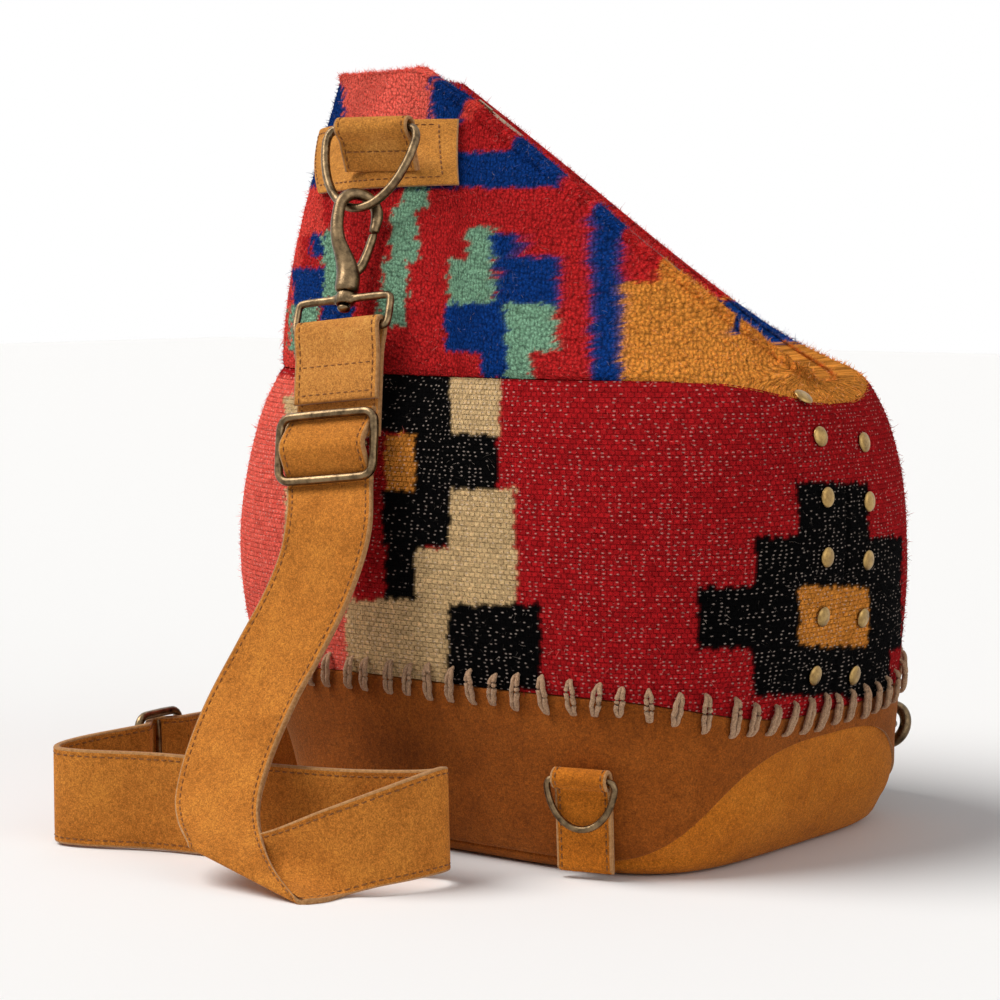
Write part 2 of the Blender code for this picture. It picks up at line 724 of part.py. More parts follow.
def weave(slider):
    """The strap woven through a slider: behind its first bar, over the middle one and behind the
    last. Places and width directions, for a route."""
    over = GLIDE_BAR + GLIDE_SLACK + STRAP_THICK / 2
    under = GLIDE_WIRE + GLIDE_SLACK + STRAP_THICK / 2
    half = GLIDE_DROP / 2
    down = [(under, half + 0.0025), (under, half + 0.0005)]
    down += [(under * 0.72, half - 0.0028), (-over * 0.72, 0.0032)]
    side = [*down, (-over, 0.0), *[(y, -z) for y, z in reversed(down)]]
    width = tuple(slider.col[0][:3])
    return [(tuple(slider @ Vector((0, y, z))), width) for y, z in side]


def strap(head, low, tail):
    """The long strap, from the top slider down to the floor, round its two loops, through the lower
    slider and behind the bag to its other tab."""
    half = STRAP_WIDTH / 2
    stations = [(place, unit(way) * half) for place, way in (*head, *STRAP_HANGING)]
    for left, right in np.array(STRAP_FOLD):
        stations.append(((left + right) / 2, (right - left) / 2))
    upright = np.array(UPRIGHT) * half
    stations += [(place, upright) for place in STRAP_FLOOR]
    stations += [(place, unit(way) * half) for place, way in low]
    stations += [(place, upright) for place in STRAP_BEHIND]
    stations += [(place, unit(way) * half) for place, way in tail]
    middle = curve_through([place for place, _ in stations], 3)
    ribbon_object("strap", middle, curve_through([way for _, way in stations], 3), STRAP_THICK, "suede")


def top_gear():
    """The large ring in its rolled loop, with the hook, swivel ring, tab and slider that hang from
    it. Returns the strap's places in the slider."""
    bar = front_at(RING_X, APEX_HEIGHT - RING_BELOW_APEX) - Vector((0, RING_OFF, 0))
    ring = leaning(bar, HEADING, RING_LEAN)
    d_ring("d_ring_top", ring, D_WIDTH, D_DROP, D_WIRE)
    profile = loop_profile(D_WIRE, LOOP_THICK, TONGUE_DROP, TONGUE_BACK)
    folded_strip("loop_top", ring, profile, LOOP_LENGTH, LOOP_THICK, "suede_light")
    drop = D_DROP * math.sqrt(1 - (2 * HANG_OFF / D_WIDTH) ** 2)
    hung = leaning(ring @ Vector((HANG_OFF, 0, -drop)), HEADING, HOOK_LEAN, ROLL)
    hook("hook_top", hung, HOOK_TURN)
    swivel_ring("swivel_ring_top", hung @ Matrix.Translation((0, 0, -HOOK_REACH)))
    bar = leaning(hung @ Vector((0, 0, -HOOK_REACH - FRAME_DROP)), HEADING, TAB_LEAN, ROLL)
    line = tab_line(TAB_FRONT, TAB_BACK, TAB_THICK / 2 + SEAT)
    folded_strip("tab_top", bar, line, STRAP_WIDTH, TAB_THICK, "suede")
    slider = bar @ Matrix.Translation((0, GLIDE_OUT, GLIDE_AT))
    glide("glide_top", slider)
    return weave(slider)


def small_ring(end):
    """A small ring in its tab on the front of the skirt or, mirrored, behind it. Returns the ring's
    frame."""
    front = leaning(SMALL_PLACE, SMALL_HEADING, 0.0)
    profile = loop_profile(SMALL_WIRE, LOOP_THICK, SMALL_TONGUE, SMALL_TONGUE_BACK)
    line = placed(front, curve_through([(0.0, y, z) for y, z in profile], 3))
    width = np.array(front.col[0][:3])
    if end == "back":
        line = line * (1, -1, 1)
        width = width * (1, -1, 1)
        out = Matrix.Rotation(SMALL_HEADING, 3, "Z") @ Vector((0, -1, 0))
        out.y = -out.y
        place = Vector((SMALL_PLACE.x, -SMALL_PLACE.y, SMALL_PLACE.z))
        down = out * math.sin(BACK_SWING) + UPRIGHT * math.cos(BACK_SWING)
        frame = hung_frame(place, down, -Vector(width))
    else:
        frame = front
    d_ring("d_ring_" + end, frame, SMALL_WIDTH, SMALL_DROP, SMALL_WIRE)
    half = np.tile(width * SMALL_LOOP_LENGTH / 2, (len(line), 1))
    ribbon_object("loop_" + end, line, half, LOOP_THICK, "suede_light")
    return frame


def back_gear():
    """The strap's other hook on the ring behind the bag, with its swivel ring and its tab. Returns
    the strap's places between the tab's layers."""
    ring = small_ring("back")
    turn = BACK_HOOK_AT
    half, drop = SMALL_WIDTH / 2, SMALL_DROP
    place = ring @ Vector((half * math.cos(turn), 0, -drop * math.sin(turn)))
    wire = ring.to_3x3() @ Vector((-half * math.sin(turn), 0, -drop * math.cos(turn)))
    hung = hung_frame(place, BACK_HOOK_DOWN, wire.cross(BACK_HOOK_DOWN))
    hook("hook_back", hung, 0.0)
    level = hung_frame(hung @ Vector((0, 0, -HOOK_REACH)), BACK_HOOK_DOWN, UPRIGHT)
    swivel_ring("swivel_ring_back", level)
    bar = level @ Matrix.Translation((0, 0, -FRAME_DROP))
    near = TAB_THICK / 2 + SEAT + STRAP_THICK / 2
    folded_strip("tab_back", bar, tab_line(TAB_FRONT, TAB_FRONT, near), STRAP_WIDTH, TAB_THICK, "suede")
    width = tuple(bar.col[0][:3])
    return [(tuple(bar @ Vector((0, 0, z))), width) for z in (-0.060, -0.036, -0.012)]


# Rivets and zip


def rivets():
    """Two columns of domed caps along the side seam at the short end."""
    number = 0
    for column, side in (("front", -1), ("back", 1)):
        for height in RIVET_HEIGHTS:
            y = RIVET_MIDDLE + side * RIVET_SPREAD
            height = height - (RIVET_BACK_DROP if column == "back" else 0.0)
            angle = angle_at(y, height)
            place = lower_surface(angle, height)
            out = normals_of(lower_surface, angle, height)
            dome(f"rivet_{column}_{number % len(RIVET_HEIGHTS) + 1}", place + out * SEAT, out)
            number += 1
    place = upper_surface(TOP_RIVET_ANGLE, TOP_RIVET_RISE)
    out = normals_of(upper_surface, TOP_RIVET_ANGLE, TOP_RIVET_RISE)
    dome("rivet_top", place + out * SEAT, out)


def angle_at(y, height):
    """The angle on the short end where the lower surface has this y."""
    angle = np.linspace(-1.2, 1.2, 481)
    return float(np.interp(y, lower_surface(angle, height)[:, 1], angle))


def dome(name, place, out, sides=12):
    """A domed cap with a flat back, standing on a surface."""
    frame = Vector(out).to_track_quat("Z", "Y").to_matrix().to_4x4()
    frame.translation = Vector(place)
    rings = []
    for share, rise in ((1.0, 0.0), (0.98, 0.45), (0.72, 0.85)):
        turns = np.arange(sides) * 2 * math.pi / sides
        radius = RIVET_RADIUS * share
        spots = [(radius * math.cos(t), radius * math.sin(t), RIVET_HEIGHT * rise) for t in turns]
        rings.append(placed(frame, spots))
    return rings_object(name, rings, "brass", last_centre=tuple(frame @ Vector((0, 0, RIVET_HEIGHT))))


def ridge_point(along, across, lift):
    """A point over the zip's valley: along the top from the kink, across it, and up from its floor."""
    kink = RIDGE_LEFT + APEX_LENGTH
    run = RIDGE_RIGHT - kink
    slope = math.atan2(SHORT_END_HEIGHT - APEX_HEIGHT, run)
    floor = APEX_HEIGHT - VALLEY_DEPTH
    if along <= 0:
        return (kink + along + lift * math.tan(-slope / 2), across, floor + lift)
    x = kink + along * math.cos(slope) - lift * math.sin(slope)
    return (x, across, floor + along * math.sin(slope) + lift * math.cos(slope))


def zip_half(end, side):
    """One tape of the zip with its teeth, as a single strip with a toothed inner edge."""
    kink = RIDGE_LEFT + APEX_LENGTH
    run = math.hypot(RIDGE_RIGHT - kink, APEX_HEIGHT - SHORT_END_HEIGHT)
    start, stop = RIDGE_LEFT + ZIP_MARGIN - kink, run - ZIP_MARGIN
    before = np.arange(0.0, -start, TOOTH_PITCH)[1:][::-1] * -1
    after = np.arange(0.0, stop, TOOTH_PITCH)
    cuts = []
    for place in (*before, *after):
        cuts += [(place, place != 0.0), (place + TOOTH_PITCH * TOOTH_SHARE, False)]
    columns = [c for c in cuts if start < c[0] < stop]
    across = (TAPE_OUT, TAPE_IN, ZIP_GAP / 2)
    points, faces = [], []
    for place, _ in columns:
        for y in across:
            points.append(ridge_point(place, side * y, TAPE_LIFT))
    for k in range(len(columns) - 1):
        a, b = k * 3, k * 3 + 3
        faces.append((a, b, b + 1, a + 1))
        if columns[k][1]:
            faces.append((a + 1, b + 1, b + 2, a + 2))
    used = sorted({i for f in faces for i in f})
    index = {old: new for new, old in enumerate(used)}
    mesh = bpy.data.meshes.new("zip_half_" + end)
    mesh.from_pydata([points[i] for i in used], [], [tuple(index[i] for i in f) for f in faces])
    mesh.update()
    if mesh.polygons[0].normal.z < 0:
        mesh.flip_normals()
    half = add_object("zip_half_" + end, mesh, "zip_tape")
    thick = half.modifiers.new("thickness", "SOLIDIFY")
    thick.thickness = TAPE_THICK
    thick.offset = 1.0


def block(name, frame, low, high, finish):
    """A plain block between two corners in a frame."""
    corners = [(x, y, z) for x in (low[0], high[0]) for y in (low[1], high[1]) for z in (low[2], high[2])]
    faces = [(0, 1, 3, 2), (4, 6, 7, 5), (0, 4, 5, 1), (2, 3, 7, 6), (0, 2, 6, 4), (1, 5, 7, 3)]
    return mesh_object(name, placed(frame, corners), faces, finish)


def zip_gear():
    """Both halves of the zip, the slider on its track and its pull."""
    zip_half("front", -1)
    zip_half("back", 1)
    place = ridge_point(SLIDER_PLACE, 0.0, TAPE_LIFT + TAPE_THICK + SLIDER_CLEAR)
    ahead = Vector(ridge_point(SLIDER_PLACE + 0.01, 0.0, 0.0)) - Vector(ridge_point(SLIDER_PLACE, 0.0, 0.0))
    up = ahead.cross(Vector((0, 1, 0))).normalized()
    x = ahead.normalized()
    frame = Matrix((x, up.cross(x), up)).transposed().to_4x4()
    frame.translation = Vector(place)
    long, wide = SLIDER_LENGTH / 2, SLIDER_WIDTH / 2
    body_block = block("zip_slider", frame, (-long, -wide, 0), (long, wide, SLIDER_THICK), "zip_metal")
    post = ZIP_GAP / 2 - SEAT
    inner, top = BRIDGE_HALF - BRIDGE_WIRE, SLIDER_THICK + BRIDGE_SPACE
    parts = [((-long * 0.6, -post, -TAPE_THICK), (long * 0.6, post, SLIDER_THICK / 2))]
    side = BRIDGE_WIDTH / 2
    for near, far in ((-BRIDGE_HALF, -inner), (inner, BRIDGE_HALF)):
        parts.append(((near, -side, SLIDER_THICK / 2), (far, side, top + BRIDGE_WIRE / 2)))
    parts.append(((-BRIDGE_HALF, -side, top), (BRIDGE_HALF, side, top + BRIDGE_WIRE)))
    for number, (low, high) in enumerate(parts):
        union(body_block, block(f"zip_slider_part_{number}", frame, low, high, "zip_metal"))
    set_origin(body_block, frame)
    pull = frame @ Matrix.Translation((0, 0, SLIDER_THICK + BRIDGE_SPACE / 2))
    columns = (-PULL_THICK / 2, PULL_THICK / 2, BRIDGE_HALF + PULL_THICK, PULL_LENGTH)
    rows = (-PULL_WIDTH / 2, PULL_ARM - PULL_WIDTH / 2, PULL_WIDTH / 2 - PULL_ARM, PULL_WIDTH / 2)
    mesh = bpy.data.meshes.new("zip_pull")
    points = [(x, y, -PULL_THICK / 2) for x in columns for y in rows]
    cells = [k * 4 + i for k in range(3) for i in range(3) if (k, i) != (1, 1)]
    mesh.from_pydata(points, [], [(c, c + 4, c + 5, c + 1) for c in cells])
    mesh.update()
    plate = add_object("zip_pull", mesh, "zip_metal")
    plate.matrix_world = pull
    thick = plate.modifiers.new("thickness", "SOLIDIFY")
    thick.thickness = PULL_THICK
    thick.offset = 1.0


def main():
    clear_scene()
    body()
    patch()
    small_ring("front")
    head = top_gear()
    tail = back_gear()
    low = hung_frame(LOW_GLIDE, LOW_GLIDE_WAY, UPRIGHT)
    glide("glide_low", low)
    strap(head, weave(low), tail)
    rivets()
    zip_gear()


main()
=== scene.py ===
"""The looks of a slouchy shoulder bag: woven wool panels over a boxed suede foot, whip stitched in
jute, with a zipped sloping top and a wide suede strap in antique brass fittings.

Metres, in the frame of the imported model: +X runs from the tall end to the short end, -Y is the front.
"""

import json
import math

import bpy
import numpy as np
from mathutils import Matrix, Vector

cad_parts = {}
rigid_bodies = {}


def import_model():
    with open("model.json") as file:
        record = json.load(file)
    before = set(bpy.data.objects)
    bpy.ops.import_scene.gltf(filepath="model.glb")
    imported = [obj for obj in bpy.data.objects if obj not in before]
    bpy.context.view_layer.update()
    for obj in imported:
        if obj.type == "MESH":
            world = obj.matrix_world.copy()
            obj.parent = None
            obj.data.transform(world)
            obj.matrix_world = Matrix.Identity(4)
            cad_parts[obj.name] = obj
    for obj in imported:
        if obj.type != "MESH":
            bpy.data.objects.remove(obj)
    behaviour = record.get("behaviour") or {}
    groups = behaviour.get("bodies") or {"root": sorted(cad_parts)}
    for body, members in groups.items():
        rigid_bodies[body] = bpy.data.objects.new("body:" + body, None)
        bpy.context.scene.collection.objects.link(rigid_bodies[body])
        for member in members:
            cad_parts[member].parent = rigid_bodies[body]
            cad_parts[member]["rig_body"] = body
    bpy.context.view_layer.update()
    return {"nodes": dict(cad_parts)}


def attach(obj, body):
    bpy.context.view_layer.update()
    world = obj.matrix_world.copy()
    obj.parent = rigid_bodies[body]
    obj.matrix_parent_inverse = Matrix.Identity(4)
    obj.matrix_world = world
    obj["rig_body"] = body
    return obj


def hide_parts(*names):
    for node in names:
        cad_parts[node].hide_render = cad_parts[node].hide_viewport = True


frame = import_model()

NODES = frame["nodes"]
RNG = np.random.default_rng(11)

# The camera stands in front of the short end and looks slightly down.
VIEW = math.radians(38)
RIGHT = np.array([math.cos(VIEW), math.sin(VIEW), 0.0])
TOWARDS = np.array([math.sin(VIEW), -math.cos(VIEW), 0.0])
SHIFT = -0.041
EYE = TOWARDS * 1.2 + RIGHT * SHIFT + np.array([0, 0, 0.25])
AIM = RIGHT * SHIFT + np.array([0, 0, 0.145])
LENS = 95.7
SENSOR = 36.0
PICTURE = 1000
FLOOR_HALF = 6.0

# The body, as in the model: heights, reaches and the top edge.
SKIRT_HEIGHT = 0.0755
SKIRT_DIP_SHORT = 0.013
SKIRT_DIP_TALL = 0.012
SEAM_HEIGHT = 0.204
SEAM_DIP = 0.011
APEX_HEIGHT = 0.340
SHORT_END_HEIGHT = 0.2025
BOTTOM_ARCH = 0.052
BOTTOM_LIP = 0.006
RIDGE_LEFT = -0.145
RIDGE_RIGHT = 0.116
RIDGE_HALF_TALL = 0.017
RIDGE_HALF_SHORT = 0.011
APEX_LENGTH = 0.056
RIDGE_SQUARE = 4.0
VALLEY_DEPTH = 0.0045
TEETH_REACH = 0.0033
LIP = 0.0060
# How much lower the back rim of the top edge lies than the front one.
BACK_DROP = 0.0035

# The weave: one float of weft yarn over a warp, and the cells of the mesh in it.
FLOAT_LENGTH = 0.0027
ROW_HEIGHT = 0.0021
FLOAT_CELLS = 2
ROW_CELLS = 2
WEAVE_RELIEF = 0.00045
RAGGED = 3.0

# The whip stitches, and the sewing threads.
WHIP_PITCH = 0.0116
WHIP_HALF = 0.0076
WHIP_PLY = 0.00105
THREAD = 0.00034
THREAD_PITCH = 0.0035
THREAD_LENGTH = 0.0024
SEAM_INSET = 0.0028

# The strap, its tabs, and the loops of the rings.
STRAP_WIDTH = 0.042
STRAP_THICK = 0.0030
TAB_THICK = 0.0024
TAB_FRONT = 0.032
TAB_BACK = 0.048
SEAT = 0.0003
LOOP_CLEAR = 0.0006
LOOP_THICK = 0.0016
LOOP_LENGTH = 0.037
D_WIDTH = 0.0465
D_DROP = 0.0400
PATCH_THICK = 0.0014
PATCH_GAP = 0.0010
PATCH_CORNERS = ((229, 0.2832), (264.5, 0.2855), (202.5, 0.3145), (260, 0.3159))
SMALL_WIDTH = 0.0300
SMALL_DROP = 0.0210
SMALL_WIRE = 0.0014
SMALL_LOOP_LENGTH = 0.0240
SMALL_TONGUE = 0.040
SMALL_TONGUE_BACK = 0.0030
HOOK_REACH = 0.0445
HOOK_HALF = 0.0088
HOOK_RISE = -0.0022
HOOK_TURN = math.radians(48)
NOSE_DROP = 0.0100
BOSS_HEIGHT = 0.0056
POST_RADIUS = 0.0016
FRAME_WIRE = 0.0017
FRAME_DROP = 0.0150
GLIDE_WIRE = 0.0019
GLIDE_DROP = 0.0285
GLIDE_BAR = 0.0014
GLIDE_SLACK = 0.0010
HEADING = math.radians(11)
HANG_OFF = 0.0015
ROLL = math.radians(6)
RING_PLACE = Vector((-0.0725, -0.0650, 0.3125))
RING_LEAN = math.radians(24)
HOOK_LEAN = math.radians(26)
TAB_LEAN = math.radians(15)
GLIDE_AT = -0.0530
GLIDE_OUT = -0.0078
SMALL_HEADING = math.radians(16)
SMALL_PLACE = Vector((0.0760, -0.1107, 0.0430))
BACK_SWING = math.radians(62)
BACK_HOOK_AT = math.radians(122)
BACK_HOOK_DOWN = Vector((-0.985, 0.16, -0.07))
UPRIGHT = Vector((0.0, 0.0, -1.0))
STRAP_HANGING = (
    ((-0.0386, -0.1345, 0.1437), (0.98, 0.17, 0.0)),
    ((-0.0400, -0.1375, 0.1286), (0.98, 0.15, 0.0)),
    ((-0.0448, -0.1430, 0.1100), (0.98, 0.14, -0.06)),
    ((-0.0516, -0.1520, 0.0892), (0.98, 0.14, -0.1)),
)
STRAP_FOLD = (
    ((-0.0799, -0.1660, 0.0668), (-0.0342, -0.1600, 0.0706)),
    ((-0.0768, -0.1820, 0.0471), (-0.0351, -0.1740, 0.0490)),
    ((-0.0705, -0.1950, 0.0307), (-0.0299, -0.1875, 0.0321)),
    ((-0.0615, -0.2030, 0.0227), (-0.0190, -0.1975, 0.0199)),
    ((-0.0532, -0.2080, 0.0188), (-0.0046, -0.2055, 0.0103)),
    ((-0.0479, -0.2105, 0.0167), (0.0107, -0.2082, 0.0014)),
    ((-0.0463, -0.2075, 0.0164), (0.0147, -0.2045, 0.0005)),
    ((-0.0417, -0.2000, 0.0173), (0.0168, -0.1985, 0.0004)),
    ((-0.0210, -0.1960, 0.0223), (0.0180, -0.1880, 0.0011)),
    ((0.0062, -0.1900, 0.0342), (0.0261, -0.1790, 0.0038)),
    ((0.0252, -0.1735, 0.0433), (0.0329, -0.1660, 0.0052)),
    ((0.0323, -0.1500, 0.0482), (0.0356, -0.1490, 0.0058)),
)
STRAP_FLOOR = (
    (0.0290, -0.1420, 0.0258),
    (0.0150, -0.1440, 0.0235),
    (-0.0150, -0.1540, 0.0220),
    (-0.0560, -0.1640, 0.0216),
    (-0.1000, -0.1740, 0.0218),
    (-0.1340, -0.1900, 0.0220),
    (-0.1480, -0.1900, 0.0223),
    (-0.1500, -0.1740, 0.0236),
)
LOW_GLIDE = Vector((-0.1460, -0.1300, 0.0262))
LOW_GLIDE_WAY = Vector((-0.10, 1.0, 0.0))
STRAP_BEHIND = (
    (-0.1510, -0.0900, 0.0244),
    (-0.1630, -0.0500, 0.0225),
    (-0.1660, 0.0200, 0.0218),
    (-0.1580, 0.0850, 0.0218),
    (-0.1320, 0.1350, 0.0222),
    (-0.0850, 0.1560, 0.0240),
)

# Left of this place in the camera's picture, the back rim is plain red.
RIM_SHOWS = 735

# Yarn colours, and the woven motifs: colour, then left, top, right and bottom in the camera's picture.
YARNS = {
    "salmon": (0.96, 0.140, 0.100),
    "coral": (0.80, 0.066, 0.050),
    "red": (0.52, 0.018, 0.019),
    "crimson": (0.43, 0.011, 0.014),
    "blue": (0.004, 0.038, 0.20),
    "green": (0.21, 0.40, 0.26),
    "gold": (0.72, 0.26, 0.040),
    "black": (0.002, 0.0018, 0.002),
    "cream": (0.70, 0.47, 0.23),
}
UPPER_MOTIFS = (
    ("coral", 200, 60, 300, 385),
    ("coral", 300, 110, 322, 235),
    ("salmon", 322, 50, 430, 150),
    ("coral", 462, 60, 500, 118),
    ("blue", 300, 84, 343, 136),
    ("blue", 294, 150, 575, 186),
    ("blue", 430, 60, 462, 124),
    ("blue", 590, 195, 622, 384),
    ("gold", 622, 270, 905, 420),
    ("red", 622, 240, 660, 282),
    ("blue", 738, 300, 775, 332),
    ("blue", 760, 318, 802, 346),
    ("gold", 240, 308, 270, 384),
    ("blue", 270, 282, 279, 384),
    ("blue", 309, 233, 323, 256),
    ("blue", 291, 267, 322, 306),
    ("blue", 318, 303, 352, 328),
    ("green", 322, 231, 342, 297),
    ("green", 288, 306, 316, 352),
    ("green", 299, 350, 316, 376),
    ("green", 402, 186, 428, 208),
    ("green", 390, 206, 417, 260),
    ("green", 382, 258, 407, 296),
    ("green", 376, 294, 404, 326),
    ("green", 466, 226, 493, 261),
    ("green", 448, 258, 493, 304),
    ("blue", 492, 232, 520, 260),
    ("blue", 494, 255, 560, 304),
    ("blue", 444, 302, 506, 351),
    ("blue", 478, 349, 506, 380),
    ("green", 505, 302, 556, 349),
    ("green", 505, 347, 530, 380),
)
LOWER_MOTIFS = (
    ("salmon", 180, 375, 300, 720),
    ("salmon", 296, 560, 352, 720),
    ("cream", 283, 395, 300, 440),
    ("cream", 283, 490, 310, 545),
    ("black", 224, 468, 234, 532),
    ("black", 372, 370, 450, 432),
    ("black", 404, 429, 496, 492),
    ("black", 381, 489, 451, 547),
    ("black", 384, 544, 421, 602),
    ("gold", 384, 434, 413, 491),
    ("cream", 449, 370, 498, 433),
    ("cream", 449, 489, 513, 552),
    ("cream", 414, 549, 516, 607),
    ("cream", 345, 600, 450, 720),
    ("black", 446, 604, 541, 690),
    ("black", 798, 482, 869, 540),
    ("black", 755, 536, 903, 588),
    ("black", 697, 587, 903, 650),
    ("black", 753, 646, 891, 697),
    ("gold", 800, 587, 869, 646),
)


def unit(v):
    v = np.asarray(v, float)
    return v / np.linalg.norm(v, axis=-1, keepdims=True)


def arc_lengths(line):
    """The length of a line up to each of its points."""
    return np.concatenate([[0], np.cumsum(np.linalg.norm(np.diff(line, axis=0), axis=1))])


def in_picture(points):
    """Where points fall in the camera's picture, across and down."""
    ahead = unit(AIM - EYE)
    side = unit(np.cross(ahead, (0, 0, 1)))
    up = np.cross(side, ahead)
    away = points - EYE
    scale = LENS / SENSOR * PICTURE / (away @ ahead)
    return PICTURE / 2 + scale * (away @ side), PICTURE / 2 - scale * (away @ up)


# Surfaces of the body


def rounded_outline(angle, left, right, depth, square):
    """A superellipse: |x/reach|^n + |y/depth|^n = 1, with its own reach at each end."""
    c, s = np.cos(angle), np.sin(angle)
    x = np.sign(c) * np.abs(c) ** (2 / square)
    y = np.sign(s) * np.abs(s) ** (2 / square)
    return np.where(x < 0, -left, right) * np.abs(x), depth * y


def body_profile(height):
    """Reach to -X, reach to +X, half depth and squareness at a share of the seam's height."""
    stations = np.array([0.0, 0.07, 0.20, 0.34, 0.60, 0.82, 0.92, 1.0])
    left = np.array([0.098, 0.110, 0.124, 0.148, 0.167, 0.166, 0.164, 0.161])
    right = np.array([0.110, 0.120, 0.125, 0.130, 0.137, 0.136, 0.132, 0.126])
    depth = np.array([0.097, 0.105, 0.109, 0.112, 0.114, 0.109, 0.104, 0.096])
    square = np.array([4.6, 4.2, 3.8, 3.3, 2.9, 2.65, 2.45, 2.25])
    share = height / SEAM_HEIGHT
    return [smooth_read(share, stations, values) for values in (left, right, depth, square)]


def smooth_read(share, stations, values):
    """Reads a smooth curve through a few stations, with slopes from its neighbours (a cubic Hermite)."""
    slopes = np.gradient(values, stations)
    k = np.clip(np.searchsorted(stations, share, side="right") - 1, 0, len(stations) - 2)
    span = stations[k + 1] - stations[k]
    t = np.clip((share - stations[k]) / span, 0.0, 1.0)
    return (
        values[k] * (2 * t**3 - 3 * t**2 + 1)
        + slopes[k] * span * (t**3 - 2 * t**2 + t)
        + values[k + 1] * (-2 * t**3 + 3 * t**2)
        + slopes[k + 1] * span * (t**3 - t**2)
    )


def lower_surface(angle, height):
    """Points of the body below the seam: angle round the bag, and height above the floor."""
    angle, height = np.broadcast_arrays(np.asarray(angle, float), np.asarray(height, float))
    x, y = rounded_outline(angle, *body_profile(height))
    return np.stack([x, y, height], axis=-1)


def ridge_height(x):
    """The top edge: level over the apex, then a straight slope down to the short end."""
    start = RIDGE_LEFT + APEX_LENGTH
    share = np.clip((x - start) / (RIDGE_RIGHT - start), 0.0, 1.0)
    return APEX_HEIGHT + (SHORT_END_HEIGHT - APEX_HEIGHT) * share


def top_edge(angle):
    """Points of the top edge, at the rim of the zip's valley."""
    x, y = rounded_outline(angle, -RIDGE_LEFT, RIDGE_RIGHT, 1.0, RIDGE_SQUARE)
    share = (x - RIDGE_LEFT) / (RIDGE_RIGHT - RIDGE_LEFT)
    half = RIDGE_HALF_TALL + (RIDGE_HALF_SHORT - RIDGE_HALF_TALL) * np.clip(share, 0.0, 1.0)
    return np.stack([x, y * half, ridge_height(x)], axis=-1)


def upper_surface(angle, height):
    """Points of the body above the seam: angle round the bag, and height above the floor."""
    angle, height = np.broadcast_arrays(np.asarray(angle, float), np.asarray(height, float))
    foot = lower_surface(angle, seam_height(angle))
    top = top_edge(angle)
    rise = np.clip((height - foot[..., 2]) / (top[..., 2] - foot[..., 2]), 0.0, 1.0)
    across = 1 - rise**1.9
    along = 1 - rise**1.15
    x = top[..., 0] + (foot[..., 0] - top[..., 0]) * along
    y = top[..., 1] + (foot[..., 1] - top[..., 1]) * across
    return np.stack([x, y, foot[..., 2] + (top[..., 2] - foot[..., 2]) * rise], axis=-1)


def normals_of(surface, angle, level, step=1e-3):
    """Outward normals of a surface, from the cross product of its two slopes."""
    around = surface(angle + step, level) - surface(angle - step, level)
    up = surface(angle, level + step) - surface(angle, level - step)
    normal = np.cross(around, up)
    return normal / np.maximum(np.linalg.norm(normal, axis=-1, keepdims=True), 1e-12)


def arch_height(angle):
    """Top edge of the bottom panel: a low lip along front and back, and an arch at each end."""
    return BOTTOM_LIP + (BOTTOM_ARCH - BOTTOM_LIP) * np.abs(np.cos(angle)) ** 5


def skirt_top(angle):
    """Height of the stitched line: it dips at the two ends of the bag."""
    c = np.cos(angle)
    return SKIRT_HEIGHT - np.where(c > 0, SKIRT_DIP_SHORT * c**4, SKIRT_DIP_TALL * c**2)


def seam_height(angle):
    """Height of the seam between the woven panels: level, but lower at the short end."""
    return SEAM_HEIGHT - SEAM_DIP * np.clip(np.cos(angle), 0.0, 1.0) ** 12


def even_angles(count, height=0.14):
    """Angles that cut the body's outline at this height into equal lengths."""
    fine = np.linspace(0, 2 * math.pi, 4001)
    run = arc_lengths(lower_surface(fine, height))
    return np.interp(np.arange(count) * run[-1] / count, run, fine), run[-1]


def waves(angle, height, seed, count=9, reach=6):
    """A smooth uneven field from -1 to 1 round the bag: sines of whole counts round it, and free heights."""
    draw = np.random.default_rng(seed)
    total = 0.0
    for _ in range(count):
        turns, tilt, phase = draw.integers(1, reach + 1), draw.uniform(-45, 45), draw.uniform(0, 2 * math.pi)
        total = total + np.sin(angle * turns + height * tilt + phase)
    return np.clip(total / (0.6 * count), -1, 1)


# Meshes


def add_object(name, data):
    made = bpy.data.objects.new(name, data)
    bpy.context.scene.collection.objects.link(made)
    return made


def piece(name, points, quads, finishes, body="bag", indices=None):
    """A mesh piece that rides on a body. Quads index the points, and indices pick each quad's finish."""
    mesh = bpy.data.meshes.new(name)
    points, quads = np.asarray(points, np.float32), np.asarray(quads, np.int32)
    mesh.vertices.add(len(points))
    mesh.vertices.foreach_set("co", points.ravel())
    mesh.loops.add(quads.size)
    mesh.loops.foreach_set("vertex_index", quads.ravel())
    mesh.polygons.add(len(quads))
    mesh.polygons.foreach_set("loop_start", np.arange(len(quads), dtype=np.int32) * 4)
    mesh.update(calc_edges=True)
    mesh.polygons.foreach_set("use_smooth", np.full(len(quads), True))
    for finish in finishes:
        mesh.materials.append(finish)
    if indices is not None:
        mesh.polygons.foreach_set("material_index", np.asarray(indices, np.int32))
    obj = add_object(name, mesh)
    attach(obj, body)
    return obj


def grid_quads(rows, columns, around=False):
    """Quads of a grid of points, row by row, closed round the columns or not."""
    r, c = np.meshgrid(np.arange(rows - 1), np.arange(columns if around else columns - 1), indexing="ij")
    here, beyond = r * columns, (r + 1) * columns
    d = (c + 1) % columns
    return np.stack([here + c, here + d, beyond + d, beyond + c], -1).reshape(-1, 4)


